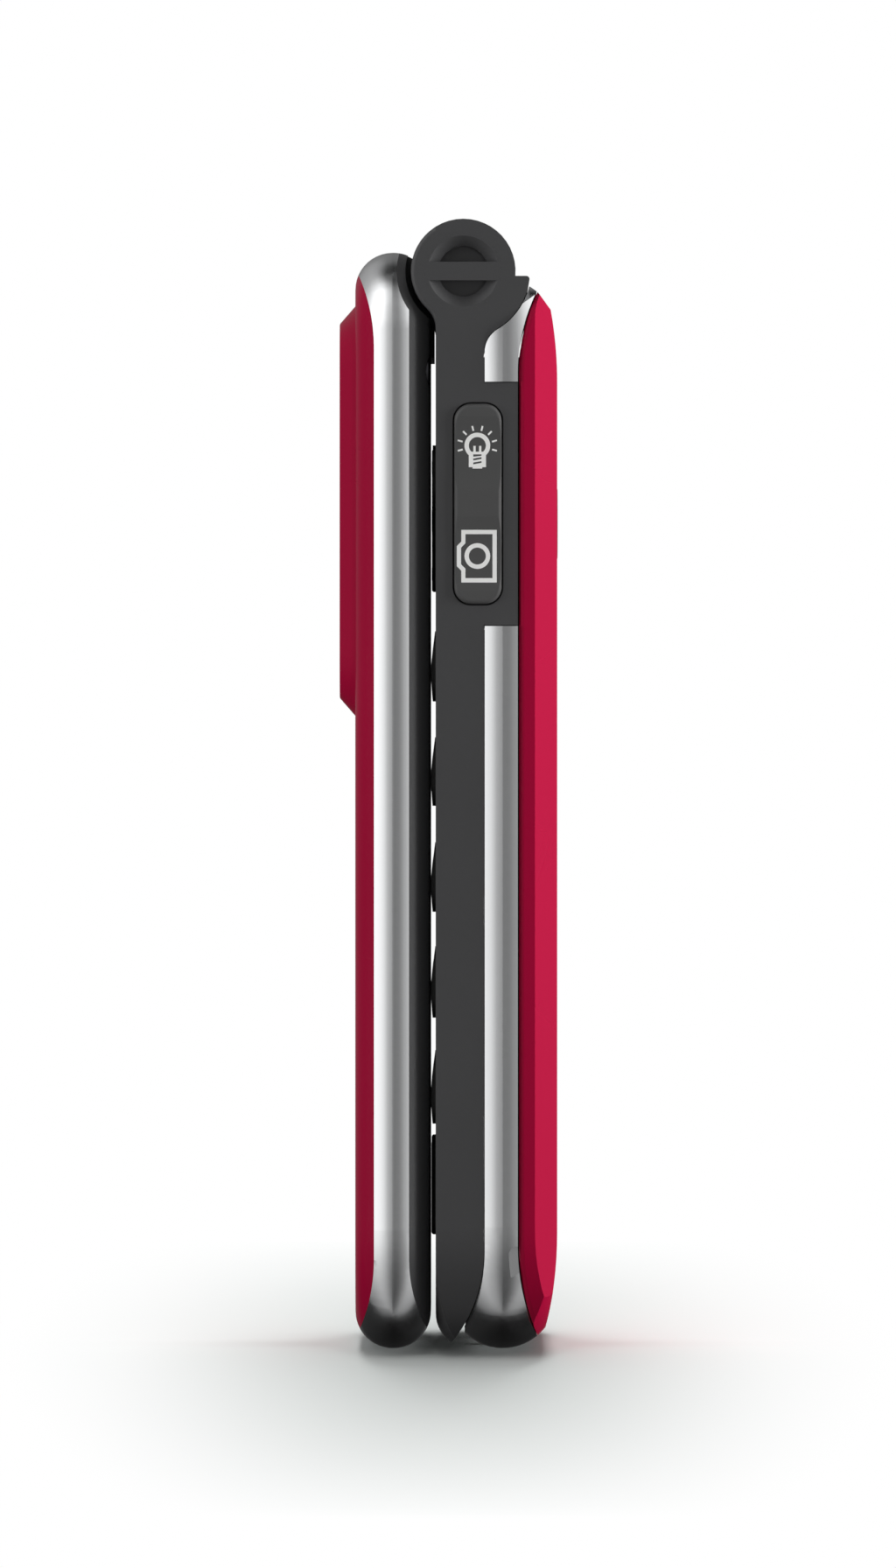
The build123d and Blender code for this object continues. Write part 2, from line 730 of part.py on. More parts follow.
def flex_span():
    """Width of the cable's tail along the hinge, beside the bush."""
    y1 = knuckle_length / 2 - bush_length - 0.5
    return y1 - flex_width, y1


def make_display_flex():
    """Cable rolled up inside the knuckle and the bush, with a tail into the lid."""
    r = hinge_bore_r - bush_wall - 0.3
    y0, y1 = flex_span()
    far = ear_inner_y + hinge_head_length - 0.3
    roll = rod(r, y0, far) - rod(r - flex_thickness, y0 - 1, far + 1)
    slit = block((axis_x - r - 1, axis_x), (y0 - 1, far + 1), (axis_z - 0.6, axis_z - flex_thickness / 2))
    tail = block((lid_inner_wall_x - 0.3, axis_x - r + flex_thickness), (y0, y1),
                 (axis_z - flex_thickness / 2, axis_z + flex_thickness / 2))
    return roll - slit + tail


def make_hinge_cap(side, with_bar):
    """End cap pressed into an ear: a shallow dish round a deeper recess."""
    face_y = side * half_width
    inward = -side
    cap = rod(cap_r, face_y, face_y + inward * cap_length)
    mouth_r = cap_r - 0.25
    dish = Cone(mouth_r, recess_r, dish_depth)
    turned = Rot(90, 0, 0) if side > 0 else Rot(-90, 0, 0)
    dish = Pos(axis_x, face_y + inward * dish_depth / 2, axis_z) * turned * dish
    cap -= dish
    if with_bar:
        cap -= rod(recess_r, face_y, face_y + inward * recess_depth)
        bar = block((axis_x - cap_r, axis_x + cap_r),
                    sorted((face_y, face_y + inward * bar_thickness)),
                    (axis_z - bar_width / 2, axis_z + bar_width / 2))
        bar = bar & rod(cap_r, face_y - 1, face_y + cap_length)
        cap += bar
    return cap


# ================================================================ base housings
def base_screw_places():
    low = (half_width - 4.1, battery_low_z + 2.2)
    high = (half_width - 5.5, lobe_high_z + 0.5)
    return [(side * y, z) for side in (-1, 1) for y, z in (low, high)]


def number_key_places():
    """Rows of three below the navigation keys: call row first, then the digits."""
    rows = []
    for row in range(5):
        z = first_row_z - row * key_pitch_z
        rows.append([((column - 1) * key_pitch_y, z) for column in range(3)])
    return rows


def key_outline(y, z, grow=0.0):
    return Pos(y, z) * RectangleRounded(key_width + 2 * grow, key_height + 2 * grow,
                                        key_corner_r + grow)


def soft_key_outline(side, grow=0.0):
    """Soft key beside the navigation ring, hollowed where it passes the ring."""
    y = side * (soft_inner_y + soft_width / 2)
    z = nav_z + soft_offset_z
    shape = Pos(y, z) * RectangleRounded(soft_width + 2 * grow, soft_height + 2 * grow,
                                         key_corner_r + grow)
    return shape - Pos(0, nav_z) * Circle(nav_r + 2 * key_gap + 1.0 - grow)


def ring_outline(grow=0.0):
    return Pos(0, nav_z) * Circle(nav_r + grow)


def side_key_centre_x():
    return base_face_x + side_key_x


def side_outline(grow=0.0):
    """Side view of a side rocker."""
    return Pos(side_key_centre_x(), side_key_z) * RectangleRounded(
        side_key_width + 2 * grow, side_key_length + 2 * grow, side_key_corner_r + grow)


def bumper_outline(side, grow=0.0):
    z = bumper_low_z + bumper_length / 2
    return Pos(side * bumper_y, z) * RectangleRounded(
        bumper_width + 2 * grow, bumper_length + 2 * grow, bumper_width / 3)


def make_base_front_housing():
    """Dark housing with the keypad face, the hinge ears and the side lobes."""
    tall = base_block(0.0, axis_z + 2 * barrel_r)
    view = dark_side_view()
    shell = tall & along_y(view, -casing_width, casing_width)
    lobe = block((base_face_x + base_dark_depth / 2, cover_seam_x), (-half_width, half_width),
                 (lobe_low_z, lobe_high_z))
    shell += lobe
    cavity_top_z = axis_z - trough_r - wall - 0.4
    shell -= base_block(wall, cavity_top_z, base_face_wall)
    shell -= rod(trough_r, -ear_inner_y, ear_inner_y)
    shell -= block((base_face_x - 1, axis_x), (-ear_inner_y, ear_inner_y),
                   (axis_z - knuckle_r / 2, axis_z + 2 * barrel_r))
    for side in (-1, 1):
        ear = along_y(ear_view(), side * ear_inner_y, side * half_width)
        rim = ear.faces().sort_by(Axis.Y)[-1 if side > 0 else 0].edges()
        shell += fillet(rim, ear_rim_r)
    shell = cut_key_openings(shell)
    for side in (-1, 1):
        rib_y = sorted((side * (side_board_y() - side_board_thickness),
                        side * (side_board_y() - side_rib)))
        shell += block((inner_face_x - 0.1, plate_x - seam_gap), rib_y,
                       (side_key_z - side_key_length / 2, side_key_z + side_key_length / 2))
        shell -= along_y(side_outline(key_gap), side * (half_width - 2 * wall), side * casing_width)
        shell -= along_x(bumper_outline(side, 0.02), base_face_x - 1, base_face_x + bumper_seat)
        shell -= rod(cap_r, side * (half_width - cap_length), side * casing_width)
    shell -= head_form(press_play)
    shell -= rod(hinge_bore_r, ear_inner_y - 1, ear_inner_y + hinge_head_length)
    shell -= peg(0, chin_r + 3, 0.5, base_face_x - 1, inner_face_x + 1)
    shell -= usb_opening()
    for y, z in base_screw_places():
        shell += peg(y, z, boss_r, inner_face_x - 0.1, plate_x)
        shell -= peg(y, z, screw_r, inner_face_x + 0.4, plate_x + 1)
    return shell


def cut_key_openings(shell):
    """Openings for all keys in the keypad face."""
    x0 = base_face_x - 1
    x1 = inner_face_x + 0.01
    for row in number_key_places():
        for y, z in row:
            shell -= along_x(key_outline(y, z, key_gap), x0, x1)
    for side in (-1, 1):
        shell -= along_x(soft_key_outline(side, key_gap), x0, x1)
    return shell - along_x(ring_outline(key_gap), x0, x1)


def usb_opening():
    """Way in for the charging plug, through the bottom end."""
    half = usb_width / 2 + seam_gap
    return block((board_back_x - seam_gap, board_back_x + usb_depth + seam_gap), (-half, half),
                 (-1, usb_low_z + usb_length + seam_gap))


def make_base_rear_housing():
    """Battery tray: mid plate, battery bay, deck over the speaker, and the outer rails."""
    inset = battery_cover_wall + bay_gap + 0.1
    body = cover_form(inset)
    rails = base_block(wall) & block((plate_x, cover_seam_x + battery_cover_wall / 2),
                                     (-casing_width, casing_width), (0, lobe_high_z + 2))
    body = body & block((cover_seam_x, tray_back_x), (-casing_width, casing_width),
                        (0, axis_z - collar_r - 2))
    body += rails
    bay_half = battery_width / 2 + bay_gap
    body -= block((bay_floor_x, 2 * base_back_x), (-bay_half, bay_half),
                  (battery_low_z - bay_gap, bay_high_z))
    pocket_half = half_width - wall - 2.2
    deck_low = bay_high_z + deck_wall
    body -= block((0, deck_x), (-pocket_half, pocket_half), (deck_low, lobe_high_z + 1))
    body -= block((0, deck_x), (-16, 16), (wall + 1.6, battery_low_z - bay_gap - deck_wall))
    for side in (-1, 1):
        gutter = sorted((side * (bay_half + deck_wall), side * (half_width - wall - deck_wall)))
        body -= block((bay_floor_x, 2 * base_back_x), gutter, (battery_low_z + 5.5, bay_high_z))
        body -= block((0, side_key_centre_x() + side_key_width / 2 + 1),
                      sorted((side * (pocket_half - 0.1), side * half_width)),
                      (lobe_low_z, lobe_high_z - 1))
    for y, z, width, height in card_windows():
        body -= block((0, bay_floor_x + 0.1), (y - width / 2, y + width / 2),
                      (z - height / 2, z + height / 2))
    body -= usb_opening()
    body -= contact_block(bay_gap / 2)
    for y, z in base_screw_places():
        if z > bay_high_z:
            body += peg(y, z, boss_r, plate_x, deck_x + 0.1)
        body -= peg(y, z, screw_r, 0, tray_back_x)
        body -= peg(y, z, screw_head_r + seam_gap, screw_seat_x(z), 2 * base_back_x)
    body -= peg(0, sos_z, sos_r + seam_gap, deck_x - 1, 2 * base_back_x)
    for end in (-1, 1):
        z = sos_z + end * (sos_r + 1.4)
        body += block((sos_board_x(), deck_x + 0.1), (-3, 3), (z - 0.5, z + 0.5))
    x0 = deck_x - 0.1
    for z in grille_rows():
        body -= block((x0, 2 * base_back_x), (speaker_y() - 5, speaker_y() + 5), (z - 0.3, z + 0.3))
    return body


def screw_seat_x(z):
    """Screw heads sit on the mid plate low down, and on the deck at the top."""
    return bay_floor_x if z < lobe_low_z else deck_x - 0.4


def card_windows():
    """Openings in the mid plate under the battery, over the card holders."""
    z = battery_low_z + card_rise
    return [(-(card_space + sim_width) / 2, z, sim_width, sim_length),
            ((card_space + memory_width) / 2, z, memory_width, memory_length)]


def speaker_y():
    return speaker_side - half_width


def grille_rows():
    z = lobe_high_z - speaker_drop
    return [z + step * 1.2 for step in range(-2, 3)]


def sos_flange_x():
    """Lower side of the SOS button's flange."""
    return deck_x - key_free - sos_flange


def sos_board_x():
    """Face of the SOS button's switch board, a dome's height and the travel below the flange."""
    return sos_flange_x() - sos_travel - key_free - dome_height


def cover_zone(x):
    """Side view of the red cover's side of its seam, or of a line beside it."""
    return seam_zone(x, 1, base_cover_bend_z, base_cover_seam_r,
                     base_cover_bend_top_z, base_cover_seam_top_r)


def band_between():
    """Side view of the silver zone of the base, between the dark and the red parts."""
    size = 4 * total_depth
    zone = Pos(axis_x, base_top_z / 2) * Rectangle(size, 2 * base_top_z)
    dark = offset(dark_side_view(), amount=seam_line)
    return zone - dark - cover_zone(cover_seam_x)


def make_base_band_lower(form, zone):
    """U-shaped silver band up both sides, with a finger notch beside the cover."""
    band = form & zone & block((-50, 50), (-50, 50), (-5, lobe_low_z - seam_line))
    band -= base_block(wall)
    notch_x = cover_seam_x - 0.85
    notch = seam_zone(notch_x, 1, base_cover_bend_z, base_cover_seam_r)
    low_z = nose_r * 0.3
    notch = notch & (Pos(notch_x + 5, (low_z + base_cover_bend_z) / 2 - 0.1) * RectangleRounded(
        10, base_cover_bend_z - low_z, 0.8))
    band -= usb_opening()
    return band - along_y(notch, -casing_width, -half_width + 0.75)


def make_base_band_upper(form, zone):
    """Silver arch behind the hinge, down to the side lobes."""
    band = form & zone & block((-50, 50), (-50, 50), (lobe_high_z + seam_line, lid_top_z))
    inner = block((0, 50), (-half_width + wall, half_width - wall), (0, base_top_z - 2 * wall))
    return band - inner


def make_battery_cover():
    """Red cover with the side facets; it hooks over the tray and pulls off backwards."""
    edge_x = cover_seam_x + seam_gap
    shell = cover_form() & along_y(cover_zone(edge_x), -casing_width, casing_width)
    side_edges = [shell.edges().sort_by_distance((edge_x, side * half_width, axis_z / 2))[0]
                  for side in (-1, 1)]
    shell = fillet(side_edges, cover_edge_r)
    shell -= cover_form(battery_cover_wall) & block(
        (0, base_back_x - battery_cover_wall), (-50, 50), (-5, lid_top_z))
    shell -= peg(0, sos_z, sos_r + seam_gap + 0.1, 0, 2 * base_back_x)
    for z in grille_rows():
        slot = Pos(speaker_y(), z) * SlotOverall(9, 0.6)
        shell -= along_x(slot, 0, 2 * base_back_x)
    return shell


def make_battery():
    r = 0.8
    cell = pad(0, battery_low_z + battery_length / 2, battery_width, battery_length, r,
               bay_floor_x, bay_floor_x + battery_thickness)
    cell = fillet(cell.faces().sort_by(Axis.X)[-1].edges(), 0.5)
    for step in range(3):
        y = (step - 1) * 2.5
        top = battery_low_z + battery_length
        cell -= block((bay_floor_x + 1, bay_floor_x + 3), (y - 0.8, y + 0.8), (top - 0.3, top + 1))
    return cell


# ================================================================ keys
def flanged(cap, flange_sketch):
    return cap + along_x(flange_sketch, flange_x, flange_x + key_flange)


def make_wave_key(y, z):
    """Number key: its face swells to a low ridge and steps down at the lower edge."""
    top = z + key_height / 2
    low = z - key_height / 2
    crest = (base_face_x - wave_proud, z + key_height * 0.02)
    start = (base_face_x - wave_low / 2, top)
    end = (base_face_x - wave_proud * 0.72, low)
    back = flange_x + key_flange / 2
    edges = Curve() + Spline(start, crest, end, tangents=((-0.12, -1), (0.1, -1)))
    edges += Polyline(end, (back, low), (back, top), start)
    cap = along_y(make_face(edges), y - key_width / 2, y + key_width / 2)
    cap = cap & along_x(key_outline(y, z), base_face_x - 1, back)
    return flanged(cap, key_outline(y, z, key_margin))


def make_soft_key(side):
    cap = along_x(soft_key_outline(side), base_face_x - soft_proud, flange_x + key_flange / 2)
    return flanged(cap, soft_key_outline(side, key_margin))


def make_nav_ring():
    """Ring with a domed face round the centre key."""
    x0 = base_face_x - nav_proud
    ring = along_x(ring_outline(), x0, flange_x + key_flange / 2)
    ring = fillet(ring.faces().sort_by(Axis.X)[0].edges(), nav_proud * 0.6)
    ring = flanged(ring, ring_outline(key_margin))
    return ring - peg(0, nav_z, nav_inner_r, x0 - 1, mat_x)


def make_ok_key():
    r = nav_inner_r - key_gap
    cap = peg(0, nav_z, r, base_face_x - ok_proud, flange_x + key_flange)
    return fillet(cap.faces().sort_by(Axis.X)[0].edges(), ok_proud * 0.6)


def make_keypad_mat():
    """Silicone mat under the keys, with a pip under each."""
    z_low = number_key_places()[-1][0][1] - key_height
    z_high = nav_z + nav_r + 2
    keys_top_z = first_row_z + key_height / 2 + key_margin
    upper_width = 2 * (side_board_y() - side_rib - key_gap)
    mat = pad(0, (z_low + z_high) / 2, upper_width, z_high - z_low, 2, mat_x, board_x)
    mat += pad(0, (z_low + keys_top_z) / 2, 3 * key_pitch_y, keys_top_z - z_low, 2, mat_x, board_x)
    for row in number_key_places():
        for y, z in row:
            mat += peg(y, z, 1.5, mat_x - key_free * 0.6, mat_x + 0.1)
    return mat


def side_board_y():
    """Outer face of the side switch boards."""
    inner_wall = half_width - wall
    return inner_wall - 0.35 - side_key_flange - 0.6


def make_rocker(side):
    """Two-way side key: its foot rests on the middle of the switch board."""
    outer = side * (half_width + side_key_proud)
    inner = side * (half_width - wall - 0.4)
    body = along_y(side_outline(), inner, outer)
    rim = (body.faces().sort_by(Axis.Y)[-1 if side > 0 else 0]).edges()
    body = fillet(rim, side_key_proud * 0.8)
    for end in (-1, 1):
        middle_y = outer + side * (side_key_hollow_r - side_key_hollow)
        hollow = Pos(middle_y, side_key_z + end * side_key_length / 4) * Circle(side_key_hollow_r)
        body -= along_x(hollow, side_key_centre_x() - side_key_width, side_key_centre_x() + side_key_width)
    flange_out = side * (half_width - wall - 0.35)
    flange_in = side * (half_width - wall - 0.35 - side_key_flange)
    body += along_y(side_outline(side_key_margin), flange_out, flange_in)
    centre_x = side_key_centre_x()
    foot_end = side * (side_board_y() + 0.03)
    body += block((centre_x - 1.2, centre_x + 1.2), sorted((flange_in, foot_end)),
                  (side_key_z - 0.4, side_key_z + 0.4))
    return body


def make_side_key_boards():
    """Small switch boards: one behind each rocker, one under the SOS button."""
    boards = Part()
    centre_x = side_key_centre_x()
    for side in (-1, 1):
        face = side * side_board_y()
        back = side * (side_board_y() - side_board_thickness)
        boards += block((inner_face_x + 0.2, centre_x + side_key_width / 2), sorted((back, face)),
                        (side_key_z - side_key_length / 2 + 0.3, side_key_z + side_key_length / 2 - 0.3))
        for end in (-1, 1):
            spot = Pos(centre_x, side_key_z + end * side_key_length * 0.31) * Circle(1.4)
            boards += along_y(spot, face - side * 0.1, face + side * dome_height)
    x1 = sos_board_x()
    boards += block((x1 - side_board_thickness, x1), (-4, 4), (sos_z - sos_r - 2, sos_z + sos_r + 2))
    return boards + peg(0, sos_z, 2.0, x1 - 0.1, x1 + dome_height)


def make_sos_button():
    """Round button with a dished top, held under the deck by its flange."""
    x1 = base_back_x + sos_proud
    button = peg(0, sos_z, sos_r, sos_flange_x(), x1)
    button = fillet(button.faces().sort_by(Axis.X)[-1].edges(), 0.3)
    sag = 0.45
    ball_x = x1 - sag + sos_dish_r
    button -= Pos(ball_x, 0, sos_z) * Sphere(sos_dish_r)
    return button + peg(0, sos_z, sos_r + 0.6, sos_flange_x(), sos_flange_x() + sos_flange)


def make_bumpers():
    """Soft bumpers pressed into the keypad face; the closed lid rests on them."""
    bumpers = Part()
    x0 = lid_back_x + bumper_squeeze
    for side in (-1, 1):
        bumper = along_x(bumper_outline(side), x0, base_face_x + bumper_seat)
        bumpers += fillet(bumper.faces().sort_by(Axis.X)[0].edges(), 0.25)
    return bumpers


# ================================================================ electronics of the base
def make_main_board():
    """Board over the whole keypad, notched for the side keys and screw bosses."""
    half = half_width - wall - board_edge
    z_low = wall + 1.2
    z_high = lobe_high_z + 2.2
    plan = outline(half, z_low, z_high, corner_r - wall, 2)
    board = along_x(plan, board_x, board_back_x)
    for side in (-1, 1):
        notch_y = sorted((side * (side_board_y() - side_rib - seam_gap), side * half_width))
        board -= block((0, base_back_x), notch_y, (lobe_low_z, lobe_high_z - 1))
    for y, z in base_screw_places():
        board -= peg(y, z, boss_r + seam_gap, 0, base_back_x)
    top = board_back_x
    board += block((top, top + 1.0), (-14, -6), (lobe_high_z - 1, lobe_high_z + 1.5))
    board += block((top, top + 1.1), (7, 10), (4, 8))
    board += block((board_x - 0.9, board_x), (-2, 2), (chin_r + 1.5, chin_r + 4.5))
    return board


def make_shield_cans():
    """Pressed steel cans over the radio and the processor."""
    cans = Part()
    top = board_back_x + can_height
    cards_top_z = battery_low_z + card_rise + sim_length / 2
    high_low_z = side_key_z - high_can_length / 2
    spans = [(casing_width - 2 * low_can_side, cards_top_z + can_space, high_low_z - can_space),
             (casing_width - 2 * high_can_side, high_low_z, high_low_z + high_can_length)]
    for width, z_low, z_high in spans:
        z = (z_low + z_high) / 2
        height = z_high - z_low
        can = pad(0, z, width, height, 1, board_back_x, top)
        can -= pad(0, z, width - 2 * can_wall, height - 2 * can_wall, 0.8, board_back_x - 1, top - can_wall)
        for step in range(-1, 2):
            can -= peg(step * width / 4, z, 0.6, top - 1, top + 1)
        cans += can
    return cans


def make_card_holders():
    """Slide-in holders for the SIM and the memory card, under the battery."""
    holders = Part()
    for y, z, width, height in card_windows():
        x1 = board_back_x + can_height + 0.05
        holder = block((board_back_x, x1), (y - width / 2 + 0.3, y + width / 2 - 0.3),
                       (z - height / 2 + 0.3, z + height / 2 - 0.3))
        slot = block((board_back_x + 0.25, x1 - 0.2), (y - width / 2 + 1, y + width / 2 - 1),
                     (z - height / 2 + 1.5, z + height))
        window = block((board_back_x + 0.5, x1 + 1), (y - width / 4, y + width / 4),
                       (z - height / 4, z + height / 4))
        holders += holder - slot - window
    return holders


def contact_block(grow=0.0):
    """Body of the battery connector, set into the top wall of the bay."""
    low_z = bay_high_z - grow
    return block((bay_floor_x + 0.6 - grow, bay_floor_x + 3.4 + grow), (-5 - grow, 5 + grow),
                 (low_z, bay_high_z + deck_wall + 1.5))


def make_battery_contacts():
    """Three-blade spring connector at the top of the battery bay."""
    body = contact_block()
    for step in range(3):
        y = (step - 1) * 2.5
        body += block((bay_floor_x + 1.4, bay_floor_x + 2.6), (y - 0.4, y + 0.4),
                      (bay_high_z - bay_gap - 0.25, bay_high_z + 0.1))
    return body


def make_usb_socket():
    """Charging socket on the board, opening through the bottom end."""
    x0 = board_back_x
    x1 = x0 + usb_depth
    half = usb_width / 2
    top = usb_low_z + usb_length
    shell = block((x0, x1), (-half, half), (usb_low_z, top))
    inner = block((x0 + 0.3, x1 - 0.3), (-half + 0.3, half - 0.3), (usb_low_z - 1, top - 0.4))
    tongue = block((x0 + 0.9, x0 + 1.5), (-half + 1.2, half - 1.2), (usb_low_z + 1, top - 0.1))
    return shell - inner + tongue


def make_loudspeaker():
    y = speaker_y()
    z = grille_rows()[2]
    rim = 0.3
    body = pad(y, z, speaker_width, speaker_height, 2.5, deck_x - speaker_depth, deck_x - rim)
    ring = pad(y, z, speaker_width - 1, speaker_height - 1, 2.2, deck_x - rim - 0.1, deck_x)
    mouth = pad(y, z, speaker_width - 3, speaker_height - 3, 1.8, deck_x - rim, deck_x + 1)
    return body + (ring - mouth)


def make_vibration_motor():
    """Coin motor glued under the deck."""
    y = half_width - speaker_side
    z = grille_rows()[2]
    coin = peg(y, z, motor_r, deck_x - motor_depth, deck_x)
    tongue = block((deck_x - 1.6, deck_x - 1.0), (y - motor_r - 0.4, y), (z - 1.2, z + 1.2))
    return coin + tongue


def make_base_screws():
    screws = Part()
    for y, z in base_screw_places():
        seat = screw_seat_x(z)
        shank = peg(y, z, screw_r - 0.05, inner_face_x + 0.6, seat)
        head = peg(y, z, screw_head_r, seat, seat + screw_head_depth)
        screws += shank + head - cross_slot(y, z, seat + screw_head_depth)
    return screws


# ================================================================ assembly
def build_lid():
    form = lid_form()
    hollow = lid_hollow()
    save("lid_outer_cover", make_lid_outer_cover(form, hollow))
    save("lid_band", make_lid_band(form, hollow))
    save("lid_inner_frame", make_lid_inner_frame(form, hollow))
    save("main_display_lens", make_main_display_lens())
    save("main_display", make_main_display())
    save("lid_board", make_lid_board())
    save("lid_screws", make_lid_screws())
    save("outer_window", make_outer_window())
    save("outer_display", make_outer_display())
    save("camera_module", make_camera_module())
    save("torch_led", make_torch_led())
    save("earpiece", make_earpiece())


def build_hinge():
    save("hinge_can", make_hinge_can())
    save("hinge_cam", make_hinge_cam())
    save("hinge_follower", make_hinge_follower())
    save("hinge_spring", make_hinge_spring())
    save("hinge_shaft", make_hinge_shaft())
    save("hinge_bush", make_hinge_bush())
    save("display_flex", make_display_flex())
    save("hinge_cap_right", make_hinge_cap(-1, with_bar=True))
    save("hinge_cap_left", make_hinge_cap(1, with_bar=False))


def build_keys():
    names = [["call_key", "clear_key", "end_key"], ["key_1", "key_2", "key_3"],
             ["key_4", "key_5", "key_6"], ["key_7", "key_8", "key_9"],
             ["key_star", "key_0", "key_hash"]]
    for row_names, row in zip(names, number_key_places()):
        for name, (y, z) in zip(row_names, row):
            save(name, make_wave_key(-y, z))
    save("soft_key_left", make_soft_key(1))
    save("soft_key_right", make_soft_key(-1))
    save("nav_ring", make_nav_ring())
    save("ok_key", make_ok_key())
    save("keypad_mat", make_keypad_mat())
    save("torch_camera_rocker", make_rocker(-1))
    save("volume_rocker", make_rocker(1))
    save("side_key_boards", make_side_key_boards())
    save("sos_button", make_sos_button())
    save("rubber_bumpers", make_bumpers())


def build_base():
    save("base_front_housing", make_base_front_housing())
    save("base_rear_housing", make_base_rear_housing())
    form = band_form()
    zone = along_y(band_between(), -casing_width, casing_width)
    save("base_band_lower", make_base_band_lower(form, zone))
    save("base_band_upper", make_base_band_upper(form, zone))
    save("battery_cover", make_battery_cover())
    save("battery", make_battery())
    save("main_board", make_main_board())
    save("shield_cans", make_shield_cans())
    save("card_holders", make_card_holders())
    save("battery_contacts", make_battery_contacts())
    save("usb_socket", make_usb_socket())
    save("loudspeaker", make_loudspeaker())
    save("vibration_motor", make_vibration_motor())
    save("base_screws", make_base_screws())


os.makedirs("parts", exist_ok=True)
build_lid()
build_hinge()
build_keys()
build_base()
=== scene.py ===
import math

import bmesh
import bpy
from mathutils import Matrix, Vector
from mathutils.bvhtree import BVHTree


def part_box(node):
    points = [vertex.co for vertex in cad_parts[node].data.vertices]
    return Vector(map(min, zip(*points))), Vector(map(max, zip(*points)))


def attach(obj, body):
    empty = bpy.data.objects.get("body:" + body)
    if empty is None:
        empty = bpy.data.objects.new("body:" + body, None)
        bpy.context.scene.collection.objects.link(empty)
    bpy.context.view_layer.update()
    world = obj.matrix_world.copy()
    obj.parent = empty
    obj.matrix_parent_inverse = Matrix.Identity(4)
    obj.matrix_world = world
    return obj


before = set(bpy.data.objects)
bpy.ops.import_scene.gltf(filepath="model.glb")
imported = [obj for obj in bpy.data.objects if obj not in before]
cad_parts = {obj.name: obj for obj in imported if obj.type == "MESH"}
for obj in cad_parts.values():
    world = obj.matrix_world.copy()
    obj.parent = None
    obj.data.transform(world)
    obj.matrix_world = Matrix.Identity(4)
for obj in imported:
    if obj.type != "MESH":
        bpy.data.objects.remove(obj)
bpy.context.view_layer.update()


# ---------------------------------------------------------------------------
# Camera: level and square to the phone's right side, from far off with a long
# lens, so that the casing halves show with hardly any perspective.
# ---------------------------------------------------------------------------
mm = 0.001
view_height = 143.36 * mm          # what the frame takes in at the phone's near side
view_centre = (-0.1 * mm, 51.76 * mm)
near_side_y = -24.0 * mm
camera_distance = 2200.0 * mm
sensor_height = 36.0                # in mm, as a lens is

camera_data = bpy.data.cameras.new("camera")
camera_data.sensor_width = sensor_height
camera_data.lens = sensor_height * camera_distance / view_height
camera = bpy.data.objects.new("camera", camera_data)
camera.location = (view_centre[0], near_side_y - camera_distance, view_centre[1])
camera.rotation_euler = (math.radians(90), 0, 0)
bpy.context.scene.collection.objects.link(camera)
bpy.context.scene.camera = camera
bpy.context.scene.view_settings.view_transform = "Standard"


# ---------------------------------------------------------------------------
# Stage: a pale table top, level under the phone and sloping gently away in
# front and behind, so that a level view still shows the shadow lying on it.
# ---------------------------------------------------------------------------
table_half_width = 0.7              # these three in metres
table_front = 0.7
table_back = 0.16
level_half = 14.0 * mm
slope_run = 60.0 * mm
front_fall = 13.5 * mm
rear_rise = 8.0 * mm
slope_steps = 24
white_from = 18.0 * mm            # the paper turns to the white of the surround
white_to = 75.0 * mm              # between these two reaches
white_stretch = (1.7, 0.8, 1.0)   # a reach counts for more across and for less in depth
paper_roughness = 0.5


def linear(colour):
    """Linear RGBA of an sRGB colour written as #rrggbb."""
    parts = [int(colour[i:i + 2], 16) / 255 for i in (1, 3, 5)]
    return tuple(c / 12.92 if c <= 0.04045 else ((c + 0.055) / 1.055) ** 2.4 for c in parts) + (1.0,)


def add_node(tree, kind, settings=None, inputs=None):
    """Adds a node with its settings, and with a value or a socket on each input that is named."""
    node = tree.nodes.new(kind)
    for name, value in (settings or {}).items():
        setattr(node, name, value)
    for name, value in (inputs or {}).items():
        if isinstance(value, bpy.types.NodeSocket):
            tree.links.new(value, node.inputs[name])
        else:
            node.inputs[name].default_value = value
    return node


def new_material(name):
    """Material with an empty node tree."""
    material = bpy.data.materials.new(name)
    material.use_nodes = True
    material.node_tree.nodes.clear()
    return material, material.node_tree


def mesh_piece(name, vertices, faces, smooth=False):
    """Object in the scene with a mesh of its own."""
    mesh = bpy.data.meshes.new(name)
    mesh.from_pydata(vertices, [], faces)
    mesh.validate()
    if smooth:
        mesh.shade_smooth()
    piece = bpy.data.objects.new(name, mesh)
    bpy.context.scene.collection.objects.link(piece)
    return piece


def eased(share):
    """Share from 0 to 1 that starts and ends softly."""
    return share * share * (3 - 2 * share)


table_rows = [(-table_front, -front_fall)]
for step in range(slope_steps + 1):
    share = 1 - step / slope_steps
    table_rows.append((-level_half - share * slope_run, -front_fall * eased(share)))
for step in range(slope_steps + 1):
    share = step / slope_steps
    table_rows.append((level_half + share * slope_run, rear_rise * eased(share)))
table_rows.append((table_back, rear_rise))
table_points = [(side * table_half_width, y, z) for y, z in table_rows for side in (-1, 1)]
table_faces = [(2 * i, 2 * i + 1, 2 * i + 3, 2 * i + 2) for i in range(len(table_rows) - 1)]
table_top = mesh_piece("table_top", table_points, table_faces, smooth=True)

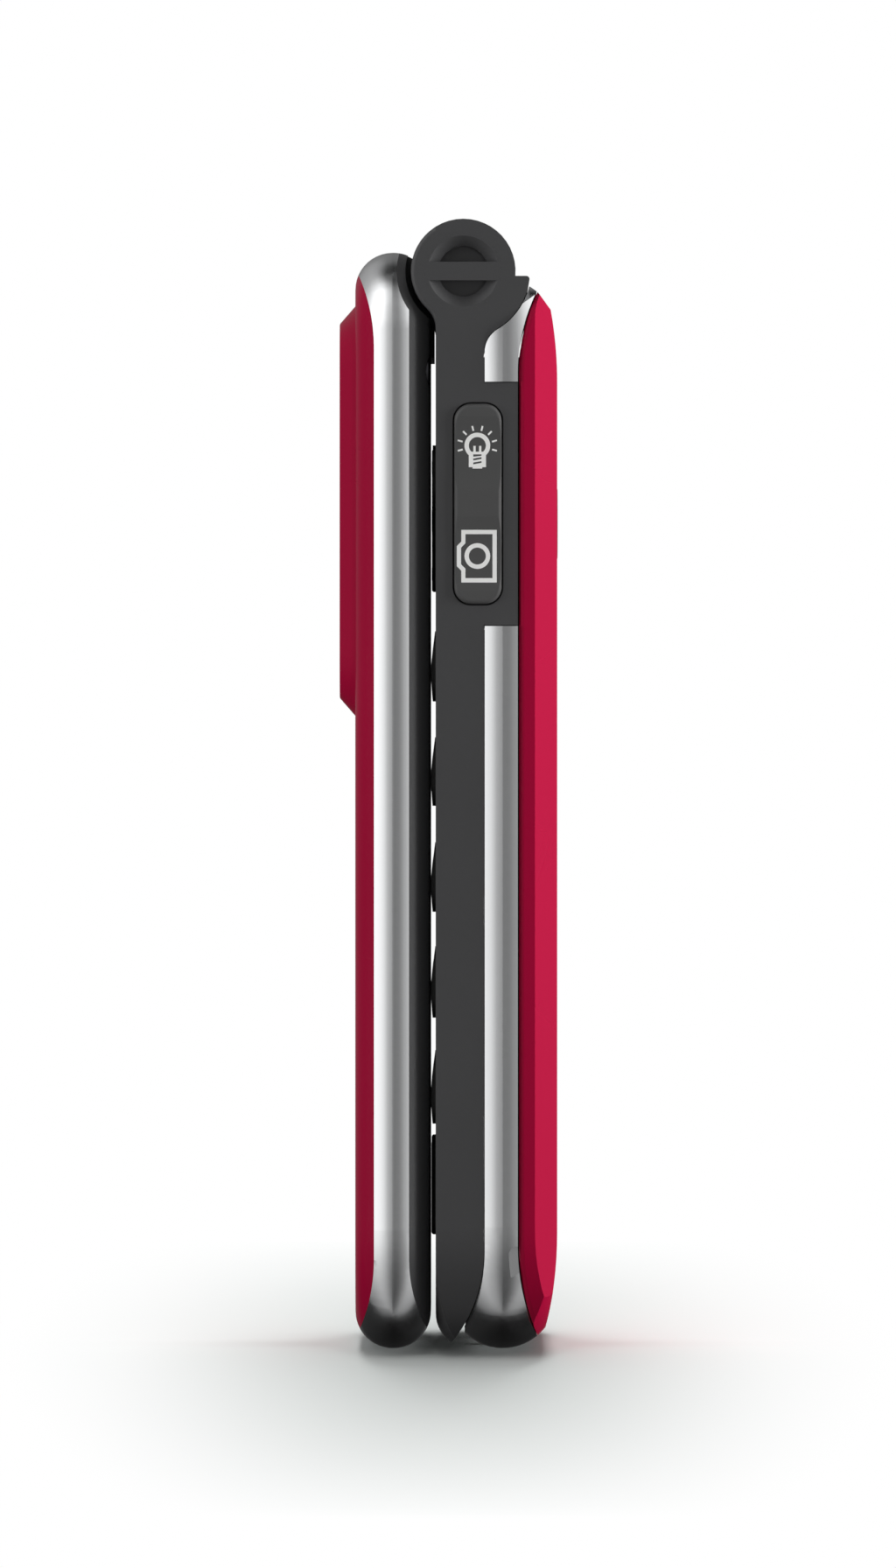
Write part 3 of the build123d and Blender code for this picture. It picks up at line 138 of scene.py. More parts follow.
# Matt background paper: even and without shine, going over to pure white away from the phone. It is
# a shade cool, which takes back some of the red that the covers throw on it.
paper, tree = new_material("white_background_paper")
matt = add_node(tree, "ShaderNodeBsdfDiffuse",
                inputs={"Color": linear("#d0d4d2"), "Roughness": paper_roughness})
white = add_node(tree, "ShaderNodeEmission", inputs={"Color": (1, 1, 1, 1), "Strength": 1.0})
rays = add_node(tree, "ShaderNodeLightPath")
place = add_node(tree, "ShaderNodeTexCoord")
oval = add_node(tree, "ShaderNodeVectorMath", {"operation": "MULTIPLY"},
                {0: place.outputs["Object"], 1: white_stretch})
reach = add_node(tree, "ShaderNodeVectorMath", {"operation": "LENGTH"}, {0: oval.outputs[0]})
fade = add_node(tree, "ShaderNodeMapRange", {"interpolation_type": "SMOOTHSTEP"},
                {"Value": reach.outputs["Value"], "From Min": white_from, "From Max": white_to})
seen_fade = add_node(tree, "ShaderNodeMath", {"operation": "MULTIPLY"},
                     {0: fade.outputs[0], 1: rays.outputs["Is Camera Ray"]})
surface = add_node(tree, "ShaderNodeMixShader",
                   inputs={0: seen_fade.outputs[0], 1: matt.outputs[0], 2: white.outputs[0]})
add_node(tree, "ShaderNodeOutputMaterial", inputs={"Surface": surface.outputs[0]})
table_top.data.materials.append(paper)
table_top.visible_diffuse = False
table_top.visible_glossy = False


# ---------------------------------------------------------------------------
# Light: four soft panels for the phone and three for the table, and a round
# tent of cloth, lighter and darker by turns, that only the casing's gloss shows.
# ---------------------------------------------------------------------------
tent_radius = 1.3
tent_steps = 72
# bearing in degrees from the camera towards +X, and the cloth's brightness there
tent_wall = [(-180, 0.14), (-165, 0.20), (-150, 0.30), (-132, 0.34), (-110, 0.42), (-90, 0.72),
             (-64, 1.27), (-54, 1.42), (-45, 1.39), (-36, 1.28), (-28, 1.12), (-19, 0.84), (-12, 0.52),
             (-5, 0.33), (3, 0.24), (10, 0.22), (18, 0.27), (28, 0.41), (37, 0.57), (46, 0.88), (60, 1.25),
             (80, 1.20), (100, 0.80), (118, 0.40), (131, 0.22), (150, 0.30), (165, 0.18), (180, 0.14)]
# elevation in degrees, and the share of the wall's brightness that is left there
tent_fade = [(-89, 0.22), (-75, 0.28), (-60, 0.33), (-45, 0.40), (-28, 0.54), (-14, 0.72), (0, 0.86),
             (4, 0.98), (20, 1.18), (45, 1.22), (58, 1.0), (67, 0.5), (75, 0.12), (89, 0.05)]
far_bearing = 100                   # the phone's far side starts at this bearing, either way
phone_middle = Vector((0, 0, 0.05))
fill_light = 0.12
low_back = 0.15                     # what is left of that below the phone's far side


def between(table, place):
    """Value at a place in a list of (place, value) pairs, on straight lines."""
    for (low, first), (high, second) in zip(table, table[1:]):
        if place <= high:
            return first + (second - first) * (place - low) / (high - low)
    return table[-1][1]


tent_points = []
tent_levels = []
for elevation, fade in tent_fade:
    for step in range(tent_steps):
        bearing = -180 + 360 * step / tent_steps
        flat = tent_radius * math.cos(math.radians(elevation))
        tent_points.append((flat * math.sin(math.radians(bearing)), -flat * math.cos(math.radians(bearing)),
                            tent_radius * math.sin(math.radians(elevation))))
        kept = low_back if elevation < 0 and abs(bearing) > far_bearing else 1.0
        tent_levels.append(between(tent_wall, bearing) * fade * kept)
tent_faces = []
for ring in range(len(tent_fade) - 1):
    for step in range(tent_steps):
        here = ring * tent_steps + step
        there = ring * tent_steps + (step + 1) % tent_steps
        tent_faces.append((here, here + tent_steps, there + tent_steps, there))
tent = mesh_piece("light_tent", tent_points, tent_faces)
level = tent.data.color_attributes.new("brightness", "FLOAT_COLOR", "POINT")
for corner, value in zip(level.data, tent_levels):
    corner.color = (value, value, value, 1)
for flag in ("visible_camera", "visible_shadow", "visible_diffuse", "visible_transmission"):
    setattr(tent, flag, False)
# Lit cloth: glows evenly in every direction, as bright as each of its corners says.
tent_cloth, tree = new_material("light_tent_cloth")
brightness = add_node(tree, "ShaderNodeAttribute", {"attribute_name": "brightness"})
glow = add_node(tree, "ShaderNodeEmission", inputs={"Color": brightness.outputs["Color"], "Strength": 1.0})
add_node(tree, "ShaderNodeOutputMaterial", inputs={"Surface": glow.outputs["Emission"]})
tent.data.materials.append(tent_cloth)


def light_group(name, state):
    """What a lamp lights: the table alone, or all but the table."""
    group = bpy.data.collections.new(name)
    group.objects.link(table_top)
    group.collection_objects[0].light_linking.link_state = state
    return group


def soft_panel(name, place, size, watts, group):
    """Square lamp that faces the phone and doesn't show in its gloss."""
    data = bpy.data.lights.new(name, "AREA")
    data.shape = "SQUARE"
    data.size = size
    data.energy = watts
    lamp = bpy.data.objects.new(name, data)
    lamp.location = place
    aim = phone_middle - Vector(place)
    lamp.rotation_euler = aim.to_track_quat("-Z", "Y").to_euler()
    lamp.visible_glossy = False
    lamp.light_linking.receiver_collection = group
    bpy.context.scene.collection.objects.link(lamp)


phone_only = light_group("lights_phone", "EXCLUDE")
table_only = light_group("lights_table", "INCLUDE")
soft_panel("key_panel", (1.80, -0.36, 0.10), 0.9, 57.0, phone_only)
soft_panel("fill_panel", (-1.75, -0.60, 0.10), 0.9, 20.0, phone_only)
soft_panel("front_panel", (0.45, -1.90, 0.05), 0.3, 5.0, phone_only)
soft_panel("top_panel", (0.0, -0.20, 1.30), 1.0, 2.5, phone_only)
soft_panel("table_panel", (0.0, 0.20, 1.30), 0.50, 18.6, table_only)
soft_panel("table_front_panel", (0.0, -0.42, 1.25), 0.50, 4.2, table_only)
soft_panel("table_sky", (0.0, 0.0, 0.80), 1.40, 4.2, table_only)

# White room: white to the eye, in gloss and through clear parts, and a weak fill as a light.
world = bpy.data.worlds.new("white_studio")
bpy.context.scene.world = world
world.use_nodes = True
tree = world.node_tree
tree.nodes.clear()
rays = add_node(tree, "ShaderNodeLightPath")
seen = add_node(tree, "ShaderNodeMath", {"operation": "MAXIMUM"},
                {0: rays.outputs["Is Camera Ray"], 1: rays.outputs["Is Glossy Ray"]})
seen = add_node(tree, "ShaderNodeMath", {"operation": "MAXIMUM"},
                {0: seen.outputs[0], 1: rays.outputs["Is Transmission Ray"]})
fill = add_node(tree, "ShaderNodeBackground", inputs={"Color": (1, 1, 1, 1), "Strength": fill_light})
white = add_node(tree, "ShaderNodeBackground", inputs={"Color": (1, 1, 1, 1), "Strength": 1.0})
mixed = add_node(tree, "ShaderNodeMixShader",
                 inputs={0: seen.outputs[0], 1: fill.outputs[0], 2: white.outputs[0]})
add_node(tree, "ShaderNodeOutputWorld", inputs={"Surface": mixed.outputs[0]})


# ---------------------------------------------------------------------------
# Outer covers: the lid's shell and the battery cover. Both are injection
# moulded in ABS, sprayed red and lacquered; the battery cover snaps on.
# ---------------------------------------------------------------------------
def finish(material, *nodes):
    """Gives CAD nodes their material."""
    for node in nodes:
        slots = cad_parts[node].data.materials
        slots.clear()
        slots.append(material)


orange_peel = 1.4 * mm
peel_depth = 0.0012 * mm
spray_cloud = 22 * mm
lacquer_gloss = (0.25, 0.29)

# Sprayed lacquer over ABS: deep even red under a smooth skin with a faint orange peel.
red_lacquer, tree = new_material("red_lacquer_sprayed_on_abs")
place = add_node(tree, "ShaderNodeTexCoord")
cloud = add_node(tree, "ShaderNodeTexNoise",
                 inputs={"Vector": place.outputs["Object"], "Scale": 1 / spray_cloud, "Detail": 1.0})
coat = add_node(tree, "ShaderNodeMix", {"data_type": "RGBA"},
                {0: cloud.outputs[0], 6: linear("#ad0d3b"), 7: linear("#a80c38")})
peel = add_node(tree, "ShaderNodeTexNoise",
                inputs={"Vector": place.outputs["Object"], "Scale": 1 / orange_peel, "Detail": 1.0})
skin = add_node(tree, "ShaderNodeBump", inputs={"Height": peel.outputs[0], "Distance": peel_depth})
sheen = add_node(tree, "ShaderNodeMapRange",
                 inputs={"Value": cloud.outputs[0], "From Min": 0.3, "From Max": 0.7,
                         "To Min": lacquer_gloss[0], "To Max": lacquer_gloss[1]})
surface = add_node(tree, "ShaderNodeBsdfPrincipled",
                   inputs={"Base Color": coat.outputs[2], "Roughness": sheen.outputs[0], "IOR": 1.5,
                           "Specular IOR Level": 0.06, "Normal": skin.outputs["Normal"]})
add_node(tree, "ShaderNodeOutputMaterial", inputs={"Surface": surface.outputs["BSDF"]})
finish(red_lacquer, "lid_outer_cover", "battery_cover")


# ---------------------------------------------------------------------------
# Bands: the two silver hoops and the arch at the hinge, moulded in ABS, plated
# with vacuum-deposited aluminium and clipped between cover and housing.
# ---------------------------------------------------------------------------
plating_grit = 0.5 * mm
plating_relief = 0.0006 * mm
plating_gloss = (0.19, 0.22)

# Satin metallised ABS: a bright metal that blurs what it mirrors, with hardly a grain. The grit is
# drawn several times too wide, to show at all.
satin_plating, tree = new_material("aluminium_vapour_plating_on_abs")
place = add_node(tree, "ShaderNodeTexCoord")
grit = add_node(tree, "ShaderNodeTexNoise",
                inputs={"Vector": place.outputs["Object"], "Scale": 1 / plating_grit, "Detail": 2.0})
haze = add_node(tree, "ShaderNodeMapRange",
                inputs={"Value": grit.outputs[0], "From Min": 0.3, "From Max": 0.7,
                        "To Min": plating_gloss[0], "To Max": plating_gloss[1]})
relief = add_node(tree, "ShaderNodeBump", inputs={"Height": grit.outputs[0], "Distance": plating_relief})
surface = add_node(tree, "ShaderNodeBsdfPrincipled",
                   inputs={"Base Color": linear("#e4e5e6"), "Metallic": 1.0, "Roughness": haze.outputs[0],
                           "Normal": relief.outputs["Normal"]})
add_node(tree, "ShaderNodeOutputMaterial", inputs={"Surface": surface.outputs["BSDF"]})
finish(satin_plating, "lid_band", "base_band_lower", "base_band_upper")


# ---------------------------------------------------------------------------
# Dark halves: the keypad housing with its hinge ears, the lid's inner frame
# and the two caps pressed into the ears, moulded in dark grey ABS and PC.
# ---------------------------------------------------------------------------
tone_drift = 12 * mm


def moulded_plastic(name, colour, shade, roughness, grain, depth, specular=0.5):
    """Plastic from a textured mould: a fine grain, and tone and gloss that drift a little.

    A real grain is too fine to show, so the widths given are several times too coarse."""
    material, tree = new_material(name)
    place = add_node(tree, "ShaderNodeTexCoord")
    drift = add_node(tree, "ShaderNodeTexNoise",
                     inputs={"Vector": place.outputs["Object"], "Scale": 1 / tone_drift, "Detail": 2.0})
    tone = add_node(tree, "ShaderNodeMix", {"data_type": "RGBA"},
                    {0: drift.outputs[0], 6: linear(colour), 7: linear(shade)})
    pits = add_node(tree, "ShaderNodeTexNoise",
                    inputs={"Vector": place.outputs["Object"], "Scale": 1 / grain, "Detail": 3.0})
    gloss = add_node(tree, "ShaderNodeMapRange",
                     inputs={"Value": pits.outputs[0], "From Min": 0.3, "From Max": 0.7,
                             "To Min": roughness - 0.04, "To Max": roughness + 0.04})
    relief = add_node(tree, "ShaderNodeBump", inputs={"Height": pits.outputs[0], "Distance": depth})
    surface = add_node(tree, "ShaderNodeBsdfPrincipled",
                       inputs={"Base Color": tone.outputs[2], "Roughness": gloss.outputs[0], "IOR": 1.5,
                               "Specular IOR Level": specular, "Normal": relief.outputs["Normal"]})
    add_node(tree, "ShaderNodeOutputMaterial", inputs={"Surface": surface.outputs["BSDF"]})
    return material


# Spark-eroded ABS and PC: satin charcoal. The real pits are 0.05 mm, drawn 0.3 mm wide to show at all.
dark_satin = moulded_plastic("charcoal_abs_spark_eroded", "#424243", "#3d3d3e", 0.42, 0.3 * mm, 0.002 * mm)
finish(dark_satin, "base_front_housing", "lid_inner_frame", "hinge_cap_right", "hinge_cap_left")

# The same resin unpainted and matt, for the tray that only shows with its cover off.
dark_matt = moulded_plastic("black_abs_matt_tray", "#343436", "#2e2e30", 0.55, 0.4 * mm, 0.004 * mm)
finish(dark_matt, "base_rear_housing")


# ---------------------------------------------------------------------------
# Hinge works: the steel can, follower, coil spring, cam, shaft and the hollow
# bush of the cable's side, turned or ground, greased, and pressed in.
# ---------------------------------------------------------------------------
def worked_steel(name, colour, roughness, line, stretch, depth):
    """Steel with tool marks: lines of one width, drawn out where the stretch is small.

    The marks are given several times too wide, to show at all."""
    material, tree = new_material(name)
    place = add_node(tree, "ShaderNodeTexCoord")
    drawn = add_node(tree, "ShaderNodeMapping",
                     inputs={"Vector": place.outputs["Object"], "Scale": stretch})
    marks = add_node(tree, "ShaderNodeTexNoise",
                     inputs={"Vector": drawn.outputs[0], "Scale": 1 / line, "Detail": 2.0})
    haze = add_node(tree, "ShaderNodeMapRange",
                    inputs={"Value": marks.outputs[0], "From Min": 0.3, "From Max": 0.7,
                            "To Min": roughness - 0.06, "To Max": roughness + 0.08})
    relief = add_node(tree, "ShaderNodeBump", inputs={"Height": marks.outputs[0], "Distance": depth})
    surface = add_node(tree, "ShaderNodeBsdfPrincipled",
                       inputs={"Base Color": linear(colour), "Metallic": 1.0, "Roughness": haze.outputs[0],
                               "Normal": relief.outputs["Normal"]})
    add_node(tree, "ShaderNodeOutputMaterial", inputs={"Surface": surface.outputs["BSDF"]})
    return material


# Turned and ground steel: bright grey with fine rings round the hinge's axis.
ground_steel = worked_steel("carbon_steel_turned_and_ground", "#b9b7b3", 0.32, 0.25 * mm,
                            (0.1, 1.0, 0.1), 0.002 * mm)
finish(ground_steel, "hinge_can", "hinge_follower", "hinge_spring", "hinge_cam", "hinge_shaft",
       "hinge_bush")


# ---------------------------------------------------------------------------
# Main display: an LCD module behind an acrylic window that is printed black
# from behind round the view, glued into the lid's inner frame.
# ---------------------------------------------------------------------------
polish_swirl = 9 * mm
polish_gloss = (0.02, 0.05)
panel_cloud = 15 * mm
module_frame = 0.6 * mm
view_corner = 1.0 * mm


def pane(node, border):
    """Middle and size of a CAD plate, less a border all round, across Y and up Z."""
    low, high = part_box(node)
    middle = (low + high) / 2
    return middle, (high.y - low.y - 2 * border, high.z - low.z - 2 * border)


def inside(tree, middle, size, corner):
    """1 within a rounded rectangle across Y and up Z, and 0 outside it."""
    place = add_node(tree, "ShaderNodeTexCoord").outputs["Object"]
    steps = (("SUBTRACT", tuple(middle)), ("ABSOLUTE", None),
             ("SUBTRACT", (0, size[0] / 2 - corner, size[1] / 2 - corner)), ("MAXIMUM", (0, 0, 0)),
             ("MULTIPLY", (0, 1, 1)))
    for operation, value in steps:
        inputs = {0: place} if value is None else {0: place, 1: value}
        place = add_node(tree, "ShaderNodeVectorMath", {"operation": operation}, inputs).outputs[0]
    reach = add_node(tree, "ShaderNodeVectorMath", {"operation": "LENGTH"}, {0: place})
    return add_node(tree, "ShaderNodeMath", {"operation": "LESS_THAN"},
                    {0: reach.outputs["Value"], 1: corner}).outputs[0]


def printed_window(name, openings):
    """Clear acrylic with a black print on its back that leaves the openings free."""
    material, tree = new_material(name)
    clear = None
    for middle, size, corner in openings:
        one = inside(tree, middle, size, corner)
        clear = one if clear is None else add_node(tree, "ShaderNodeMath", {"operation": "MAXIMUM"},
                                                   {0: clear, 1: one}).outputs[0]
    ink = add_node(tree, "ShaderNodeMix", {"data_type": "RGBA"},
                   {0: clear, 6: linear("#0b0b0c"), 7: linear("#fbfcfc")})
    place = add_node(tree, "ShaderNodeTexCoord")
    swirl = add_node(tree, "ShaderNodeTexNoise",
                     inputs={"Vector": place.outputs["Object"], "Scale": 1 / polish_swirl, "Detail": 3.0})
    shine = add_node(tree, "ShaderNodeMapRange",
                     inputs={"Value": swirl.outputs[0], "From Min": 0.3, "From Max": 0.7,
                             "To Min": polish_gloss[0], "To Max": polish_gloss[1]})
    surface = add_node(tree, "ShaderNodeBsdfPrincipled",
                       inputs={"Base Color": ink.outputs[2], "Roughness": shine.outputs[0], "IOR": 1.49,
                               "Transmission Weight": clear})
    add_node(tree, "ShaderNodeOutputMaterial", inputs={"Surface": surface.outputs["BSDF"]})
    return material


def display_panel(name, middle, size, corner):
    """LCD that is switched off: black polariser in a pressed steel frame."""
    material, tree = new_material(name)
    shown = inside(tree, middle, size, corner)
    place = add_node(tree, "ShaderNodeTexCoord")
    bleed = add_node(tree, "ShaderNodeTexNoise",
                     inputs={"Vector": place.outputs["Object"], "Scale": 1 / panel_cloud, "Detail": 1.0})
    polariser = add_node(tree, "ShaderNodeMix", {"data_type": "RGBA"},
                         {0: bleed.outputs[0], 6: linear("#16181c"), 7: linear("#101216")})
    face = add_node(tree, "ShaderNodeMix", {"data_type": "RGBA"},
                    {0: shown, 6: linear("#a3a4a4"), 7: polariser.outputs[2]})
    frame_metal = add_node(tree, "ShaderNodeMath", {"operation": "SUBTRACT"}, {0: 1.0, 1: shown})
    shine = add_node(tree, "ShaderNodeMapRange", inputs={"Value": shown, "To Min": 0.35, "To Max": 0.12})
    surface = add_node(tree, "ShaderNodeBsdfPrincipled",
                       inputs={"Base Color": face.outputs[2], "Metallic": frame_metal.outputs[0],
                               "Roughness": shine.outputs[0]})
    add_node(tree, "ShaderNodeOutputMaterial", inputs={"Surface": surface.outputs["BSDF"]})
    return material


main_view = pane("main_display", module_frame)

# Cast acrylic with screen-printed ink: a black gloss border round a clear field.
finish(printed_window("acrylic_window_black_screen_print", [(*main_view, view_corner)]),
       "main_display_lens")
# LCD with its polariser: near black with a slight blue, in a satin steel frame.
finish(display_panel("lcd_polariser_in_steel_frame", *main_view, view_corner), "main_display")


# ---------------------------------------------------------------------------
# Outer window: the acrylic pane on the lid's raised panel, printed black but
# for the small display, the camera's eye and the torch behind it.
# ---------------------------------------------------------------------------
outer_frame = 1.5 * mm
eye_opening = 4.6 * mm
torch_opening = 3.2 * mm
outer_view = pane("outer_display", outer_frame)
camera_low, camera_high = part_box("camera_module")
camera_middle = (camera_low + camera_high) / 2
torch_low, torch_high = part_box("torch_led")
torch_middle = (torch_low + torch_high) / 2

# The same printed acrylic, with three fields left clear.
finish(printed_window("acrylic_cover_window_black_print",
                      [(*outer_view, view_corner),
                       (camera_middle, (eye_opening, eye_opening), eye_opening / 2),
                       (torch_middle, (torch_opening, torch_opening), torch_opening / 2)]), "outer_window")
finish(display_panel("outer_lcd_in_steel_frame", *outer_view, view_corner), "outer_display")

eye_radius = 1.4 * mm
barrel_groove = 0.35 * mm           # a wave at scale 1 repeats about three times in a unit

# Black anodised barrel with turned grooves, and a coated glass eye with a violet cast.
camera_parts, tree = new_material("anodised_barrel_and_coated_lens")
eye = inside(tree, camera_middle, (2 * eye_radius, 2 * eye_radius), eye_radius)
place = add_node(tree, "ShaderNodeTexCoord")
from_axis = add_node(tree, "ShaderNodeVectorMath", {"operation": "SUBTRACT"},
                     {0: place.outputs["Object"], 1: tuple(camera_middle)})
rings = add_node(tree, "ShaderNodeTexWave", {"wave_type": "RINGS", "rings_direction": "X"},
                 {"Vector": from_axis.outputs[0], "Scale": 1 / (3 * barrel_groove)})
metal = add_node(tree, "ShaderNodeMix", {"data_type": "RGBA"},
                 {0: rings.outputs[1], 6: linear("#111112"), 7: linear("#1c1c1e")})
tint = add_node(tree, "ShaderNodeMix", {"data_type": "RGBA"},
                {0: eye, 6: metal.outputs[2], 7: linear("#0c0a1c")})
shine = add_node(tree, "ShaderNodeMapRange", inputs={"Value": eye, "To Min": 0.38, "To Max": 0.03})
surface = add_node(tree, "ShaderNodeBsdfPrincipled",
                   inputs={"Base Color": tint.outputs[2], "Roughness": shine.outputs[0], "IOR": 1.6})
add_node(tree, "ShaderNodeOutputMaterial", inputs={"Surface": surface.outputs["BSDF"]})
finish(camera_parts, "camera_module")

phosphor_size = 1.3 * mm
facet = 0.25 * mm
facet_relief = 0.03 * mm

# Epoxy over yellow phosphor, with the moulded facets of its small lens.
torch_epoxy, tree = new_material("clear_epoxy_over_phosphor")
chip = inside(tree, torch_middle, (phosphor_size, phosphor_size), phosphor_size / 5)
place = add_node(tree, "ShaderNodeTexCoord")
facets = add_node(tree, "ShaderNodeTexVoronoi",
                  inputs={"Vector": place.outputs["Object"], "Scale": 1 / facet})
relief = add_node(tree, "ShaderNodeBump",
                  inputs={"Height": facets.outputs["Distance"], "Distance": facet_relief})
glow = add_node(tree, "ShaderNodeMix", {"data_type": "RGBA"},
                {0: chip, 6: linear("#e8e6dc"), 7: linear("#e6cf3a")})
surface = add_node(tree, "ShaderNodeBsdfPrincipled",
                   inputs={"Base Color": glow.outputs[2], "Roughness": 0.12, "IOR": 1.5,
                           "Normal": relief.outputs["Normal"]})
add_node(tree, "ShaderNodeOutputMaterial", inputs={"Surface": surface.outputs["BSDF"]})
finish(torch_epoxy, "torch_led")


# ---------------------------------------------------------------------------
# Boards and cable: glass-fibre boards with green solder mask, and the rolled
# polyimide cable that runs through the hinge to the lid's board.
# ---------------------------------------------------------------------------
track_pitch = 1.1 * mm
track_share = 0.12
tracks_in_cell = 3
track_relief = 0.02 * mm

# Solder mask over copper: green gloss, lighter where a track runs under it. The tracks are drawn 5
# times too wide, to show at all.
solder_mask, tree = new_material("green_solder_mask_over_copper")
place = add_node(tree, "ShaderNodeTexCoord")
cells = add_node(tree, "ShaderNodeTexVoronoi", {"feature": "F1", "distance": "CHEBYCHEV"},
                 {"Vector": place.outputs["Object"], "Scale": 1 / track_pitch, "Randomness": 0.85})
step = add_node(tree, "ShaderNodeMath", {"operation": "FRACT"},
                {0: add_node(tree, "ShaderNodeMath", {"operation": "MULTIPLY"},
                             {0: cells.outputs["Distance"], 1: tracks_in_cell}).outputs[0]})
track = add_node(tree, "ShaderNodeMath", {"operation": "LESS_THAN"},
                 {0: step.outputs[0], 1: tracks_in_cell * track_share})
green = add_node(tree, "ShaderNodeMix", {"data_type": "RGBA"},
                 {0: track.outputs[0], 6: linear("#14492c"), 7: linear("#256b41")})
relief = add_node(tree, "ShaderNodeBump", inputs={"Height": track.outputs[0], "Distance": track_relief})
surface = add_node(tree, "ShaderNodeBsdfPrincipled",
                   inputs={"Base Color": green.outputs[2], "Roughness": 0.28, "IOR": 1.52,
                           "Normal": relief.outputs["Normal"]})
add_node(tree, "ShaderNodeOutputMaterial", inputs={"Surface": surface.outputs["BSDF"]})
finish(solder_mask, "main_board", "lid_board", "side_key_boards")

conductor_pitch = 0.8 * mm
wave_repeat = 0.32                  # a wave texture repeats after this at a scale of 1

# Polyimide film: amber, with the copper conductors showing through as stripes, drawn 2 times too wide.
cable_film, tree = new_material("polyimide_film_with_copper")
place = add_node(tree, "ShaderNodeTexCoord")
stripes = add_node(tree, "ShaderNodeTexWave", {"wave_type": "BANDS", "bands_direction": "Y"},
                   {"Vector": place.outputs["Object"], "Scale": wave_repeat / conductor_pitch})
amber = add_node(tree, "ShaderNodeMix", {"data_type": "RGBA"},
                 {0: stripes.outputs[1], 6: linear("#b4691c"), 7: linear("#8f4a16")})
surface = add_node(tree, "ShaderNodeBsdfPrincipled",
                   inputs={"Base Color": amber.outputs[2], "Roughness": 0.3, "IOR": 1.7})
add_node(tree, "ShaderNodeOutputMaterial", inputs={"Surface": surface.outputs["BSDF"]})
finish(cable_film, "display_flex")


# ---------------------------------------------------------------------------
# Small metal: shield cans, card holders, the socket's shell and the motor's
# case are pressed from tinned or stainless sheet; the screws are black zinc.
# ---------------------------------------------------------------------------
# Rolled tinned sheet: soft grey metal with faint lines along the coil it was cut from.
tinned_sheet = worked_steel("tinned_steel_sheet_rolled", "#c4c3bf", 0.36, 0.5 * mm,
                            (1.0, 1.0, 0.06), 0.001 * mm)
finish(tinned_sheet, "shield_cans", "card_holders", "usb_socket", "vibration_motor")
# Black zinc: dark metal, a little uneven from the plating bath.
black_zinc = worked_steel("screw_steel_black_zinc", "#4b4b4e", 0.34, 0.4 * mm, (1.0, 1.0, 1.0), 0.002 * mm)
finish(black_zinc, "base_screws", "lid_screws")


# ---------------------------------------------------------------------------
# Earpiece, loudspeaker and the battery's spring contacts: black glass-filled
# moulded bodies, the contacts with gold-plated blades at their top.
# ---------------------------------------------------------------------------
# Glass-filled polymer: matt black with a pale fleck of fibre, drawn 3 times too coarse.
filled_black = moulded_plastic("black_glass_filled_polymer", "#202022", "#29292a", 0.5,
                               0.3 * mm, 0.003 * mm)
finish(filled_black, "earpiece", "loudspeaker")

blade_height = 0.35 * mm
contact_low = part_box("battery_contacts")[0]
speck_size = 0.3 * mm

# The same polymer below, and gold plating on the spring blades that stand out of its edge.
contact_parts, tree = new_material("gold_plated_blades_in_black_polymer")
place = add_node(tree, "ShaderNodeTexCoord")
parts_of = add_node(tree, "ShaderNodeSeparateXYZ", inputs={"Vector": place.outputs["Object"]})
blade = add_node(tree, "ShaderNodeMath", {"operation": "LESS_THAN"},
                 {0: parts_of.outputs["Z"], 1: contact_low.z + blade_height})
speck = add_node(tree, "ShaderNodeTexNoise",
                 inputs={"Vector": place.outputs["Object"], "Scale": 1 / speck_size, "Detail": 3.0})
black = add_node(tree, "ShaderNodeMix", {"data_type": "RGBA"},
                 {0: speck.outputs[0], 6: linear("#1c1c1e"), 7: linear("#262628")})
tone = add_node(tree, "ShaderNodeMix", {"data_type": "RGBA"},
                {0: blade.outputs[0], 6: black.outputs[2], 7: linear("#d8b25a")})
shine = add_node(tree, "ShaderNodeMapRange",
                 inputs={"Value": blade.outputs[0], "To Min": 0.5, "To Max": 0.22})
surface = add_node(tree, "ShaderNodeBsdfPrincipled",
                   inputs={"Base Color": tone.outputs[2], "Metallic": blade.outputs[0],
                           "Roughness": shine.outputs[0]})
add_node(tree, "ShaderNodeOutputMaterial", inputs={"Surface": surface.outputs["BSDF"]})
finish(contact_parts, "battery_contacts")


# ---------------------------------------------------------------------------
# Battery: a flat pack wrapped in grey polyester film with a plain pale field
# printed on its outer side, dropped into the tray under the cover.
# ---------------------------------------------------------------------------
label_border = 4.0 * mm
label_corner = 1.5 * mm
crease_size = 6 * mm
crease_depth = 0.05 * mm
battery_label = pane("battery", label_border)

# Printed polyester film: matt charcoal with a bare light field where a label would be, and painted shade in
# its creases: the film is drawn darker where the crease relief sinks.
battery_film, tree = new_material("polyester_film_printed")
field = inside(tree, *battery_label, label_corner)
place = add_node(tree, "ShaderNodeTexCoord")
crease = add_node(tree, "ShaderNodeTexNoise",
                  inputs={"Vector": place.outputs["Object"], "Scale": 1 / crease_size, "Detail": 3.0})
film_with_crease_shade = add_node(tree, "ShaderNodeMix", {"data_type": "RGBA"},
                {0: crease.outputs[0], 6: linear("#3a3a3d"), 7: linear("#434347")})
tone = add_node(tree, "ShaderNodeMix", {"data_type": "RGBA"},
                {0: field, 6: film_with_crease_shade.outputs[2], 7: linear("#b9babb")})
relief = add_node(tree, "ShaderNodeBump", inputs={"Height": crease.outputs[0], "Distance": crease_depth})
surface = add_node(tree, "ShaderNodeBsdfPrincipled",
                   inputs={"Base Color": tone.outputs[2], "Roughness": 0.42, "IOR": 1.6,
                           "Normal": relief.outputs["Normal"]})
add_node(tree, "ShaderNodeOutputMaterial", inputs={"Surface": surface.outputs["BSDF"]})
finish(battery_film, "battery")


